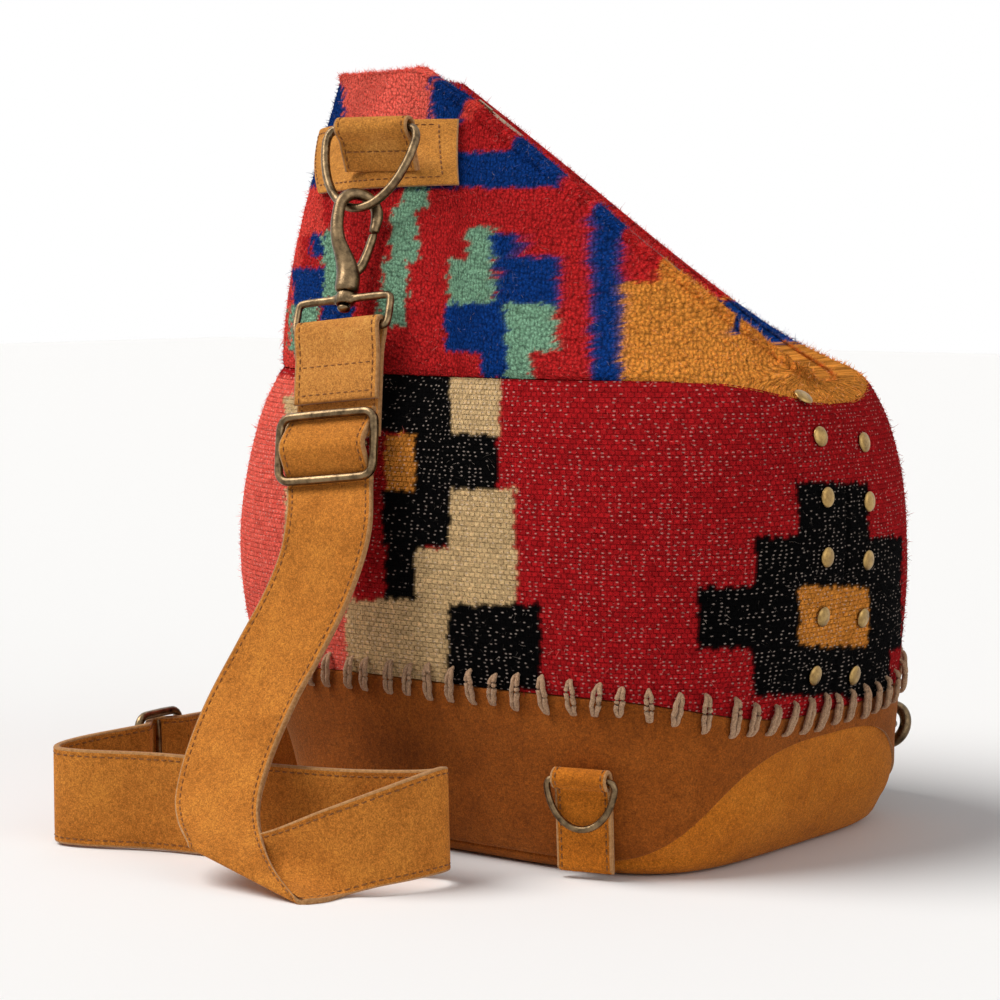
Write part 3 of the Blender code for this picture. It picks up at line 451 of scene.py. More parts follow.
def slab_piece(name, outer, inner, finishes, edge_columns=1):
    """A sheet with thickness from two grids of points. Its rim, and this many columns beside it, take
    the second finish."""
    rows, columns = outer.shape[:2]
    inside = rows * columns
    top = grid_quads(rows, columns)
    low = top[:, ::-1] + inside
    c, here = np.arange(columns - 1), np.arange(rows - 1) * columns
    beyond = here + columns
    sides = [
        np.stack([c + 1, c, c + inside, c + 1 + inside], -1),
        np.stack([c, c + 1, c + 1 + inside, c + inside], -1) + (rows - 1) * columns,
        np.stack([here, beyond, beyond + inside, here + inside], -1),
        np.stack([beyond, here, here + inside, beyond + inside], -1) + columns - 1,
    ]
    column = np.tile(np.arange(columns - 1), rows - 1)
    rim = ((column < edge_columns) | (column >= columns - 1 - edge_columns)).astype(int)
    quads = np.vstack([top, low, *sides])
    indices = np.concatenate([rim, rim, np.ones(sum(len(s) for s in sides), int)])
    points = np.vstack([outer.reshape(-1, 3), inner.reshape(-1, 3)])
    return piece(name, points, quads, finishes, indices=indices)


def tubes(lines, radii, sides=6, guide=None):
    """Points and quads of round tubes along lines, an array (lines, points, 3), with (lines, points)
    radii. The sides start square to the guide."""
    lines, radii = np.asarray(lines, float), np.asarray(radii, float)
    count, length = lines.shape[:2]
    tangent = unit(np.gradient(lines, axis=1))
    if guide is None:
        guide = np.where(np.abs(tangent[:, :1, 2:]) > 0.8, [[[1.0, 0, 0]]], [[[0, 0, 1.0]]])
    side = unit(np.cross(tangent, guide))
    other = np.cross(tangent, side)
    turns = np.arange(sides) * 2 * math.pi / sides
    ring = side[:, :, None] * np.cos(turns)[:, None] + other[:, :, None] * np.sin(turns)[:, None]
    points = lines[:, :, None] + ring * radii[:, :, None, None]
    quads = grid_quads(length, sides, around=True)
    shift = (np.arange(count) * length * sides)[:, None, None]
    return points.reshape(-1, 3), (quads[None] + shift).reshape(-1, 4)


def sew(name, line, out):
    """A row of short stitches along a line on a surface, standing out along its outward directions."""
    run = arc_lengths(line)
    starts = np.arange(THREAD_PITCH * 0.4, run[-1] - THREAD_LENGTH, THREAD_PITCH)
    share = np.array([0.0, 0.14, 0.5, 0.86, 1.0])
    lift = np.array([-0.9, 0.25, 0.55, 0.25, -0.9]) * THREAD
    width = np.array([0.45, 0.95, 1.05, 0.95, 0.45]) * THREAD
    spots = starts[:, None] + share * THREAD_LENGTH
    lines = np.stack([np.interp(spots, run, line[:, k]) for k in range(3)], -1)
    ways = np.stack([np.interp(spots, run, out[:, k]) for k in range(3)], -1)
    lines = lines + ways * lift[:, None]
    points, quads = tubes(lines, np.tile(width, (len(starts), 1)))
    piece(name, points, quads, [THREAD_FINISH])


# Materials


def add_node(tree, kind, inputs=None, **settings):
    """A shader node with its settings, its inputs set to values or joined to sockets."""
    made = tree.nodes.new("ShaderNode" + kind)
    for key, value in settings.items():
        setattr(made, key, value)
    for key, value in (inputs or {}).items():
        if isinstance(value, bpy.types.NodeSocket):
            tree.links.new(value, made.inputs[key])
        else:
            made.inputs[key].default_value = value
    return made


def fresh(name, **values):
    """A material, its tree and its shader, with the shader's constant values set by name."""
    made = bpy.data.materials.new(name)
    made.use_nodes = True
    shader = made.node_tree.nodes["Principled BSDF"]
    for key, value in values.items():
        shader.inputs[key.replace("_", " ")].default_value = value
    return made, made.node_tree, shader


def place_of(tree):
    return add_node(tree, "TexCoord").outputs["Object"]


def noise(tree, vector, scale, detail=3.0, rough=0.55):
    inputs = {"Vector": vector, "Scale": scale, "Detail": detail, "Roughness": rough}
    return add_node(tree, "TexNoise", inputs).outputs["Fac"]


def cells(tree, vector, uneven):
    """Flat cells one unit across, set at random by this much."""
    inputs = {"Vector": vector, "Scale": 1.0, "Randomness": uneven}
    return add_node(tree, "TexVoronoi", inputs, voronoi_dimensions="2D")


def stretched(tree, vector, scale, turn=0.0):
    """Coordinates turned about Z and scaled along each axis."""
    return add_node(tree, "Mapping", {"Vector": vector, "Scale": scale, "Rotation": (0, 0, turn)}).outputs[0]


def worked_out(tree, kind, *values):
    """One of the shader's sums, from numbers or sockets."""
    return add_node(tree, "Math", dict(enumerate(values)), operation=kind).outputs[0]


def ramp(tree, factor, *stops):
    """A colour ramp of (place, colour) stops."""
    made = add_node(tree, "ValToRGB", {"Fac": factor})
    elements = made.color_ramp.elements
    for k, (place, colour) in enumerate(stops):
        spot = elements[k] if k < 2 else elements.new(place)
        spot.position = place
        spot.color = (*colour, 1) if len(colour) == 3 else colour
    return made.outputs["Color"]


def greys(*stops):
    """Ramp stops of (place, value) in grey."""
    return [(place, (value, value, value)) for place, value in stops]


def blend_of(tree, kind, factor, a, b):
    """Two colours blended in one of Blender's ways."""
    made = tree.nodes.new("ShaderNodeMix")
    made.data_type = "RGBA"
    made.blend_type = kind
    for socket, value in ((made.inputs[0], factor), (made.inputs[6], a), (made.inputs[7], b)):
        if isinstance(value, bpy.types.NodeSocket):
            tree.links.new(value, socket)
        else:
            socket.default_value = value
    return made.outputs[2]


def join_bumps(tree, shader, *layers):
    """Bumps of (height, distance, strength) one on another, into the shader's normal."""
    normal = None
    for height, distance, strength in layers:
        inputs = {"Height": height, "Distance": distance, "Strength": strength}
        if normal is not None:
            inputs["Normal"] = normal
        normal = add_node(tree, "Bump", inputs).outputs["Normal"]
    tree.links.new(normal, shader.inputs["Normal"])


def wool(name):
    """The yarn colour under its weave coordinates: the tree, its shader, and the parts shared by both
    cloths."""
    made, tree, shader = fresh(name, Roughness=1.0, Specular_IOR_Level=0.03)
    yarn = add_node(tree, "Attribute", attribute_name="yarn").outputs["Color"]
    uv = add_node(tree, "UVMap", uv_map="weave").outputs["UV"]
    hair = noise(tree, place_of(tree), 1500.0, 4.0, 0.8)
    return made, tree, shader, yarn, uv, hair


def crinkled_wool():
    """Soft wool crinkled into small curls, with a painted highlight on each curl's crown and painted shade
    between them, and a few pale fibres.
    """
    made, tree, shader, yarn, uv, hair = wool("crinkled_wool")
    bent = add_node(tree, "TexNoise", {"Vector": uv, "Scale": 0.9, "Detail": 2.0}).outputs["Color"]
    bent = add_node(tree, "VectorMath", {0: bent, 1: (0.7, 0.7, 0.0), 2: uv}, operation="MULTIPLY_ADD")
    spun = stretched(tree, bent.outputs[0], (1.35, 1.25, 1.0), 0.1)
    curl = cells(tree, spun, 0.7).outputs["Distance"]
    plies = noise(tree, spun, 2.2, 3.0, 0.65)
    # Painted highlight on the crown of each curl and painted shade between the curls.
    colour = blend_of(tree, "MULTIPLY", 1.0, yarn, ramp(tree, curl, *greys((0.10, 1.30), (0.75, 0.50))))
    colour = blend_of(tree, "MULTIPLY", 0.8, colour, ramp(tree, plies, *greys((0.28, 0.55), (0.72, 1.45))))
    colour = blend_of(tree, "OVERLAY", 0.5, colour, ramp(tree, hair, *greys((0.32, 0.2), (0.68, 0.8))))
    thin = stretched(tree, spun, (1.0, 4.5, 1.0), 0.6)
    pale = ramp(tree, noise(tree, thin, 1.9, 2.0, 0.6), *greys((0.66, 0.0), (0.74, 0.55)))
    bright = blend_of(tree, "SCREEN", 0.10, colour, (1.0, 0.85, 0.75, 1))
    tree.links.new(blend_of(tree, "MIX", pale, colour, bright), shader.inputs["Base Color"])
    mound = worked_out(tree, "SUBTRACT", 1.0, curl)
    join_bumps(tree, shader, (mound, 0.0019, 0.9), (plies, 0.0008, 0.85), (hair, 0.0003, 0.8))
    return made


def flat_wool():
    """Flat-woven wool: rows of short floats, each with its plies, painted shade in the grooves between
    the floats, and the pale warp that shows in specks between them."""
    made, tree, shader, yarn, uv, hair = wool("flat_wool")
    sizes = {"Scale": 1.0, "Brick Width": 1.0, "Row Height": 1.0, "Mortar Size": 0.14, "Mortar Smooth": 1.0}
    # The mortar is painted shade in the grooves between floats; the two brick tones are the floats' own
    # random tone.
    float_tones_and_groove_shade = {"Color1": (1, 1, 1, 1), "Color2": (0.72, 0.72, 0.72, 1), "Mortar": (0.70, 0.70, 0.70, 1)}
    inputs = {"Vector": uv, "Bias": 0.0, **sizes, **float_tones_and_groove_shade}
    brick = add_node(tree, "TexBrick", inputs, offset=0.5, offset_frequency=2)
    plies = noise(tree, stretched(tree, uv, (1.4, 3.4, 1.0), 0.45), 1.0, 4.0, 0.7)
    colour = blend_of(tree, "MULTIPLY", 0.8, yarn, brick.outputs["Color"])
    colour = blend_of(tree, "MULTIPLY", 0.8, colour, ramp(tree, plies, *greys((0.26, 0.5), (0.74, 1.45))))
    colour = blend_of(tree, "OVERLAY", 0.4, colour, ramp(tree, hair, *greys((0.32, 0.2), (0.68, 0.8))))
    dots = cells(tree, stretched(tree, uv, (0.8, 1.25, 1.0)), 0.45)
    dot = ramp(tree, dots.outputs["Distance"], *greys((0.10, 1.0), (0.24, 0.0)))
    zone = noise(tree, uv, 0.045, 2.0)
    some = worked_out(tree, "ADD", dots.outputs["Color"], zone)
    speck = blend_of(tree, "MULTIPLY", 1.0, dot, ramp(tree, some, *greys((0.98, 0.0), (1.10, 0.75))))
    warp = blend_of(tree, "MIX", 0.5, yarn, (0.74, 0.60, 0.52, 1))
    colour = blend_of(tree, "MIX", speck, colour, warp)
    tree.links.new(colour, shader.inputs["Base Color"])
    height = worked_out(tree, "SUBTRACT", 1.0, brick.outputs["Fac"])
    join_bumps(tree, shader, (height, 0.0009, 0.8), (plies, 0.0007, 0.85), (hair, 0.0003, 0.7))
    return made


def fibre():
    """Loose wool hair, in the colour of the yarn that it stands in."""
    made, tree, shader = fresh("fibre", Roughness=0.95, Specular_IOR_Level=0.05)
    yarn = add_node(tree, "Attribute", attribute_name="yarn").outputs["Color"]
    shade = noise(tree, place_of(tree), 300.0)
    colour = blend_of(tree, "MULTIPLY", 1.0, yarn, ramp(tree, shade, *greys((0.3, 0.75), (0.7, 1.3))))
    tree.links.new(colour, shader.inputs["Base Color"])
    return made


def suede(name, dark, middle, light):
    """Brushed suede: faint clouds, fine grain and a short nap."""
    nap = {"Sheen_Weight": 0.12, "Sheen_Roughness": 0.45}
    made, tree, shader = fresh(name, Roughness=0.92, Specular_IOR_Level=0.12, **nap)
    shader.inputs["Sheen Tint"].default_value = (1.0, 0.66, 0.34, 1)
    place = place_of(tree)
    clouds = noise(tree, place, 55.0, 5.0, 0.6)
    speckle = noise(tree, place, 620.0, 5.0, 0.8)
    short = noise(tree, place, 1700.0, 2.0, 0.6)
    colour = ramp(tree, clouds, (0.10, dark), (0.50, middle), (0.90, light))
    colour = blend_of(tree, "OVERLAY", 0.60, colour, ramp(tree, speckle, *greys((0.30, 0.16), (0.70, 0.82))))
    colour = blend_of(tree, "OVERLAY", 0.65, colour, ramp(tree, short, *greys((0.3, 0.22), (0.7, 0.80))))
    tree.links.new(colour, shader.inputs["Base Color"])
    join_bumps(tree, shader, (clouds, 0.0020, 0.3), (speckle, 0.0005, 0.6), (short, 0.0002, 0.6))
    return made


def brass(name, bright, worn):
    """Antique brass: dark in its hollows and brighter where it rubs."""
    made, tree, shader = fresh(name, Metallic=1.0, Roughness=0.3)
    place = place_of(tree)
    stain = noise(tree, place, 240.0, 6.0, 0.65)
    scratch = noise(tree, stretched(tree, place, (1, 1, 6)), 700.0)
    tree.links.new(ramp(tree, stain, (0.34, worn), (0.62, bright)), shader.inputs["Base Color"])
    tree.links.new(ramp(tree, scratch, *greys((0.3, 0.24), (0.75, 0.44))), shader.inputs["Roughness"])
    join_bumps(tree, shader, (stain, 0.0002, 0.25), (scratch, 0.0001, 0.2))
    return made


def yarn_finish(name, dark, light, scale=900.0):
    """Spun thread or jute: fine streaks and hairs."""
    made, tree, shader = fresh(name, Roughness=0.9, Sheen_Weight=0.15, Specular_IOR_Level=0.15)
    streak = noise(tree, place_of(tree), scale, 4.0, 0.7)
    tree.links.new(ramp(tree, streak, (0.28, dark), (0.72, light)), shader.inputs["Base Color"])
    join_bumps(tree, shader, (streak, 0.0005, 0.8))
    return made


def zip_finish():
    """Woven tape at the sides and metal teeth along the middle."""
    made, tree, shader = fresh("zip", Roughness=0.45)
    place = place_of(tree)
    parts = add_node(tree, "SeparateXYZ", {"Vector": place})
    across = worked_out(tree, "ABSOLUTE", parts.outputs["Y"])
    tooth = worked_out(tree, "LESS_THAN", across, TEETH_REACH)
    ribs = add_node(tree, "TexWave", {"Vector": place, "Scale": 400.0, "Distortion": 2.0}).outputs["Fac"]
    tape = ramp(tree, ribs, (0.2, (0.035, 0.020, 0.015)), (0.8, (0.085, 0.050, 0.035)))
    tree.links.new(blend_of(tree, "MIX", tooth, tape, (0.42, 0.32, 0.17, 1)), shader.inputs["Base Color"])
    tree.links.new(tooth, shader.inputs["Metallic"])
    join_bumps(tree, shader, (ribs, 0.0003, 0.5))
    return made


CRINKLED = crinkled_wool()
FLAT = flat_wool()
FIBRE = fibre()
STRAP_SUEDE = suede("strap_suede", (0.32, 0.098, 0.011), (0.50, 0.175, 0.026), (0.62, 0.240, 0.036))
# The top tab's suede is the strap's suede with painted light: lighter and more golden, as where light falls
# on its top.
TAB_SUEDE_PAINTED_LIGHT = suede("tab_suede_painted_light", (0.40, 0.150, 0.028), (0.58, 0.240, 0.052), (0.70, 0.330, 0.085))
# The skirt's suede: a darker brown suede, made darker still with painted shade, as on a front that lies in
# shade.
SKIRT_SUEDE_PAINTED_SHADE = suede("skirt_suede_painted_shade", (0.15, 0.036, 0.004), (0.25, 0.064, 0.007), (0.34, 0.098, 0.013))
FOOT_SUEDE = suede("foot_suede", (0.30, 0.082, 0.007), (0.46, 0.138, 0.011), (0.58, 0.195, 0.020))
PATCH_SUEDE = suede("patch_suede", (0.37, 0.130, 0.020), (0.52, 0.210, 0.038), (0.66, 0.300, 0.070))
CUT_EDGE = yarn_finish("cut_edge", (0.28, 0.120, 0.035), (0.56, 0.300, 0.120), 700.0)
BRASS = brass("antique_brass", (0.23, 0.155, 0.082), (0.062, 0.041, 0.023))
CAP_BRASS = brass("cap_brass", (0.42, 0.27, 0.095), (0.20, 0.12, 0.045))
ZIP_METAL = brass("zip_brass", (0.36, 0.27, 0.15), (0.16, 0.11, 0.06))
THREAD_FINISH = yarn_finish("thread", (0.13, 0.045, 0.010), (0.34, 0.135, 0.035))
JUTE = yarn_finish("jute", (0.17, 0.085, 0.042), (0.62, 0.390, 0.235), 1500.0)
ZIP = zip_finish()


# The woven panels

FLOATS = round(even_angles(8)[1] / FLOAT_LENGTH)
COLUMNS = FLOATS * FLOAT_CELLS
WEAVE_ANGLES = even_angles(COLUMNS)[0]
SIDE_SEAM_Y = -0.005


def across_of(surface, angle, height):
    """How far round the weave a place is, in floats. On the faces of the upper panel the warp stays
    upright where the cloth leans back."""
    edges, counts = np.append(WEAVE_ANGLES, 2 * math.pi), np.arange(COLUMNS + 1) / FLOAT_CELLS
    turned = np.mod(angle, 2 * math.pi)
    across = np.interp(turned, edges, counts)
    if surface is lower_surface:
        return across
    fine = np.linspace(0, 2 * math.pi, 721)
    rim = lower_surface(fine, seam_height(fine))
    places = np.interp(fine, edges, counts)
    spot = surface(angle, height)
    for face, side in (("front", 1.0), ("back", -1.0)):
        round_to = turned if face == "front" else 2 * math.pi - turned
        window = np.clip((round_to - math.radians(222)) / 0.30, 0, 1)
        window = window * np.clip((math.radians(345) - round_to) / 0.35, 0, 1)
        window = window**2 * (3 - 2 * window)
        chosen = (fine > math.radians(218)) & (fine < math.radians(359))
        sight = rim[chosen] @ RIGHT
        level = np.stack([spot[..., 0], -np.abs(spot[..., 1]), spot[..., 2]], axis=-1) @ RIGHT
        base = np.interp(round_to, fine, places)
        shifted = np.interp(level, sight, places[chosen])
        across = across + side * window * (shifted - base)
    return across


def scatter(across, up, seed):
    """A steady random number from -1 to 1 for each whole cell of the weave."""
    return 2 * ((np.sin(across * 12.9898 + up * 78.233 + seed * 37.719) * 43758.5453) % 1.0) - 1


def yarn_colours(surface, motifs, angle, height, ground):
    """The colour of the yarn at these places: the motif that the camera sees there, or for the hidden
    side the one that stands opposite on the front. The motifs' edges are ragged by a float or so."""
    across = across_of(surface, angle, height)
    spot = surface(angle, height)
    seen = np.einsum("...i,...i", normals_of(surface, angle, height), EYE - spot) > 0
    flip = np.where(seen, 1.0, -np.sign(spot[..., 1]))
    keep = np.ones_like(flip)
    px, py = in_picture(spot * np.stack([keep, flip, keep], axis=-1))
    float_at = np.floor(across) % FLOATS, np.floor(height / ROW_HEIGHT)
    cell_at = np.floor(across * FLOAT_CELLS) % COLUMNS, np.floor(height / ROW_HEIGHT * ROW_CELLS)
    if surface is upper_surface:
        px = px + RAGGED * (scatter(*float_at, 1) + 0.5 * scatter(*cell_at, 2))
        py = py + RAGGED * (0.7 * scatter(*float_at, 3) + 0.4 * scatter(*cell_at, 4))
    else:
        px = px + RAGGED * 0.6 * scatter(*float_at, 1)
        py = py + RAGGED * (0.8 * scatter(cell_at[0], 0.0, 3) + 0.3 * scatter(*float_at, 4))
    colours = np.broadcast_to(np.array(YARNS[ground]), spot.shape).copy()
    for name, left, top, right, bottom in motifs:
        inside = (px >= left) & (px < right) & (py >= top) & (py < bottom)
        colours[inside] = YARNS[name]
    if surface is upper_surface:
        far_rim = (spot[..., 1] > -0.003) & (height > ridge_height(spot[..., 0]) - 0.02)
        far_rim &= px < RIM_SHOWS
        colours[far_rim] = YARNS["red"]
    shade = 1.0 + 0.14 * scatter(*float_at, 5) + 0.14 * scatter(*cell_at, 6)
    return np.clip(colours * shade[..., None], 0, 1)


def weave_relief(across, level, uneven):
    """The weave's relief: rows of floats, each row shifted by half a float. Never above zero."""
    row = np.floor(level + 1e-6)
    ridge = 0.4 + 0.6 * np.abs(np.sin(math.pi * (level - row)))
    crown = 0.4 + 0.6 * np.abs(np.sin(math.pi * (across + 0.5 * (row % 2))))
    lumps = 0.5 + 0.5 * scatter(np.round(across * FLOAT_CELLS), np.round(level * ROW_CELLS), 7)
    return -WEAVE_RELIEF * (1 - ridge * crown * (1 - uneven * (1 - lumps)))


def panel(name, surface, lows, highs, motifs, ground, node, rim=None):
    """A woven panel from its lower edge to its upper edge, in level rows of yarn. The rows past an
    edge close up on it. A rim adds rows that fold over the top."""
    step = ROW_HEIGHT / ROW_CELLS
    first, last = math.floor(lows.min() / step), math.ceil(highs.max() / step)
    levels = np.arange(first, last + 1) * step
    height = np.clip(levels[:, None], lows, highs)
    angle = np.broadcast_to(WEAVE_ANGLES, height.shape)
    across = across_of(surface, angle, height)
    out = normals_of(surface, angle, np.clip(height, lows + 0.0012, highs - 0.0012))
    calm = 1 - np.exp(-((np.angle(np.exp(1j * angle)) / 0.45) ** 2))
    push = -0.0011 * calm * (0.5 + 0.5 * waves(angle, height, 5))
    push = push - 0.0007 * np.exp(-(((height - seam_height(angle)) / 0.0016) ** 2))
    uneven = 0.6 if surface is upper_surface else 0.15
    spot = surface(angle, height)
    beside = np.where(np.cos(angle) > 0, spot[..., 1] - SIDE_SEAM_Y, 1.0)
    push = push - 0.0011 * np.exp(-((beside / 0.0013) ** 2))
    edge = np.minimum(highs - height, 0.002) / 0.002 if rim is not None else 1.0
    spot = spot + out * ((push + weave_relief(across, height / ROW_HEIGHT, uneven)) * edge)[..., None]
    rows = [spot]
    if rim is not None:
        rows.append(rim)
    points = np.vstack(rows)
    quads = grid_quads(len(points), COLUMNS, around=True)
    row_of, column_of = quads[:, 0] // COLUMNS, quads[:, 0] % COLUMNS
    body_rows = len(levels) - 1
    at = np.minimum(row_of, body_rows - 1)
    clipped = np.clip((levels[at] + step / 2), lows[column_of] + 0.0003, highs[column_of] - 0.0003)
    far = np.append(WEAVE_ANGLES, 2 * math.pi)
    colours = yarn_colours(surface, motifs, (far[column_of] + far[column_of + 1]) / 2, clipped, ground)
    flat = points.reshape(-1, 3)
    crossing = np.linalg.norm(flat[quads[:, 3]] - flat[quads[:, 0]], axis=1)
    other = np.linalg.norm(flat[quads[:, 2]] - flat[quads[:, 1]], axis=1)
    keep = (crossing > 2e-5) | (other > 2e-5)
    quads, colours, row_of, column_of = quads[keep], colours[keep], row_of[keep], column_of[keep]
    used, index = np.unique(quads, return_inverse=True)
    index = index.reshape(-1, 4)
    made = piece(name, flat[used], index, [CRINKLED if surface is upper_surface else FLAT])
    corner_levels = np.concatenate([height / ROW_HEIGHT, np.zeros((len(points) - len(levels), COLUMNS))])
    for k in range(len(levels), len(points)):
        corner_levels[k] = corner_levels[k - 1] + 0.7
    v = corner_levels.reshape(-1)[quads]
    rows_across = np.concatenate([across, np.tile(across[-1], (len(points) - len(levels), 1))]).reshape(-1)
    u = rows_across[quads]
    u[:, 1:3] += np.where(column_of == COLUMNS - 1, FLOATS, 0)[:, None]
    layer = made.data.uv_layers.new(name="weave")
    layer.data.foreach_set("uv", np.stack([u, v], -1).astype(np.float32).ravel())
    mixed = np.zeros((len(used), 3))
    np.add.at(mixed, index, colours[:, None])
    mixed = mixed / np.bincount(index.ravel(), minlength=len(used))[:, None]
    paint(made, (0.45 * colours[:, None] + 0.55 * mixed[index]).reshape(-1, 3))
    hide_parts(node)
    return flat, quads, colours, row_of >= body_rows


def paint(obj, corner_colours):
    """Writes the yarn colour at each corner of a mesh."""
    layer = obj.data.color_attributes.new("yarn", "FLOAT_COLOR", "CORNER")
    rgba = np.concatenate([corner_colours, np.ones((len(corner_colours), 1))], axis=1)
    layer.data.foreach_set("color", rgba.astype(np.float32).ravel())


# How far each column lies behind the zip: 0 in front, 1 behind.
BEHIND = np.clip(np.sin(WEAVE_ANGLES) / 0.35, 0.0, 1.0)
# Places along the top edge, and how full its rolled rim is there.
RIM_FULLNESS = (-0.110, -0.088, -0.072, -0.045, 0.010), (0.30, 0.50, 1.00, 1.00, 0.75)


def fold_over():
    """Rows that carry the woven edge up and over into the zip's valley, and close across its floor."""
    edge = top_edge(WEAVE_ANGLES)
    ends = np.array([RIDGE_LEFT, RIDGE_RIGHT])
    middle, reach = ends.mean(), (ends[1] - ends[0]) / 2
    rows = []
    for inset, share, lift in (
        (0.0, 1.00, 0.0020),
        (0.0004, 0.80, 0.0042),
        (0.0014, 0.45, 0.0056),
        (0.0024, 0.15, 0.0056),
        (0.0032, 0.00, 0.0040),
        (0.0038, 0.05, 0.0010),
        (0.0046, 0.25, -0.0020),
        (0.0052, 0.25, -VALLEY_DEPTH),
        (0.0060, None, -VALLEY_DEPTH),
    ):
        x = middle + (edge[:, 0] - middle) * (reach - inset) / reach
        width = np.abs(edge[:, 1])
        lip = np.minimum(LIP, width)
        y = np.sign(edge[:, 1]) * (lip + (width - lip) * share) if share is not None else edge[:, 1] * 0
        wobble = 1 + 0.25 * waves(WEAVE_ANGLES, 0.0, 8, 9, 40) if lift > 0 else 1.0
        calm = np.interp(x, *RIM_FULLNESS) if lift > 0 else 1.0
        front = lift * wobble * calm
        back = np.minimum(0.1 * front, lift) - BACK_DROP if lift > 0 else min(lift, -BACK_DROP)
        rows.append(np.stack([x, y, ridge_height(x) + front + (back - front) * BEHIND], axis=-1))
    return np.array(rows)


def hairs(name, parts, count):
    """Loose hairs of wool that stand out of the panels, bent and turned at random, thickest along
    the folded top edge."""
    points = np.vstack([p for p, *_ in parts])
    shift, quads, colours, weight = 0, [], [], []
    for flat, faces, shades, rim in parts:
        quads.append(faces + shift)
        colours.append(shades)
        corner = flat[faces]
        area = np.linalg.norm(np.cross(corner[:, 2] - corner[:, 0], corner[:, 3] - corner[:, 1]), axis=1)
        weight.append(area * np.where(rim, 5.0, 1.0))
        shift += len(flat)
    quads, colours, weight = np.vstack(quads), np.vstack(colours), np.concatenate(weight)
    corner = points[quads]
    centre = corner.mean(axis=1)
    normal = np.cross(corner[:, 2] - corner[:, 0], corner[:, 3] - corner[:, 1])
    normal = normal / np.maximum(np.linalg.norm(normal, axis=1, keepdims=True), 1e-12)
    pick = RNG.choice(len(quads), count, p=weight / weight.sum())
    root, out = centre[pick], normal[pick]
    length = RNG.gamma(2.2, 0.00042, count)[:, None] + 0.0007
    sway = unit(RNG.normal(size=(count, 3)))
    lean = unit(out * RNG.uniform(0.10, 0.7, (count, 1)) + sway * 0.8)
    lean = unit(lean + out * np.maximum(0.0, 0.25 - np.einsum("ij,ij->i", lean, out))[:, None] * 1.5)
    curl = unit(np.cross(lean, RNG.normal(size=(count, 3)))) * RNG.uniform(0.1, 0.55, (count, 1))
    share = np.array([0.0, 0.5, 1.0])
    way = lean[:, None] * share[:, None] + curl[:, None] * (share**2)[:, None]
    line = root[:, None] + length[:, None] * way
    line[..., 2] = np.maximum(line[..., 2], 0.0005)
    side = unit(np.cross(lean, RNG.normal(size=(count, 3))))
    half = np.array([1.0, 0.8, 0.2]) * 0.00012
    edges = np.stack([line - side[:, None] * half[:, None], line + side[:, None] * half[:, None]], axis=2)
    base = (np.arange(count) * 6)[:, None, None]
    strip = np.array([[0, 1, 3, 2], [2, 3, 5, 4]])[None]
    made = piece(name, edges.reshape(-1, 3), (strip + base).reshape(-1, 4), [FIBRE])
    pale = RNG.uniform(0, 1, (count, 1)) ** 6 * 0.30
    shades = np.clip(colours[pick] * 1.1 * (1 - pale) + pale * np.array([0.75, 0.62, 0.52]), 0, 1)
    paint(made, np.repeat(shades, 8, axis=0))


lower = panel(
    "woven_lower",
    lower_surface,
    skirt_top(WEAVE_ANGLES) + SEAT,
    seam_height(WEAVE_ANGLES) + SEAT,
    LOWER_MOTIFS,
    "crimson",
    "kilim_lower",
)
upper = panel(
    "woven_upper",
    upper_surface,
    seam_height(WEAVE_ANGLES) - SEAT,
    top_edge(WEAVE_ANGLES)[:, 2] - BACK_DROP * BEHIND,
    UPPER_MOTIFS,
    "red",
    "kilim_upper",
    rim=fold_over(),
)
hairs("wool_hairs_lower", [lower], 16000)
hairs("wool_hairs_upper", [upper], 45000)


# The suede foot and skirt

ROUND = 420
ROUND_ANGLES = even_angles(ROUND, 0.05)[0]


def skirt():
    """The skirt, standing proud of the bottom panel, with its cut edge turned in at both ends."""
    low, high = arch_height(ROUND_ANGLES), skirt_top(ROUND_ANGLES)
    turned_in = ((0.0, -0.0022), (0.0, -0.0004), (0.004, 0.0))
    flat = [(share, 0.0) for share in np.linspace(0.03, 0.985, 26)]
    rows = []
    for share, depth in (*turned_in, *flat, (0.995, -0.0003), (1.0, -0.0016)):
        height = low + (high - low) * share
        out = normals_of(lower_surface, ROUND_ANGLES, height)
        dent = 0.0008 * (0.5 + 0.5 * waves(ROUND_ANGLES, height, 21)) * math.sin(math.pi * share)
        rows.append(lower_surface(ROUND_ANGLES, height) + out * (depth - dent)[:, None])
    quads = grid_quads(len(rows), ROUND, around=True)
    edge = (quads[:, 0] // ROUND < 2).astype(int)
    # The skirt's suede holds painted shade in its colour.
    finishes = [SKIRT_SUEDE_PAINTED_SHADE, CUT_EDGE]
    made = piece("suede_skirt_skin", np.vstack(rows), quads, finishes, indices=edge)
    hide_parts("suede_skirt")


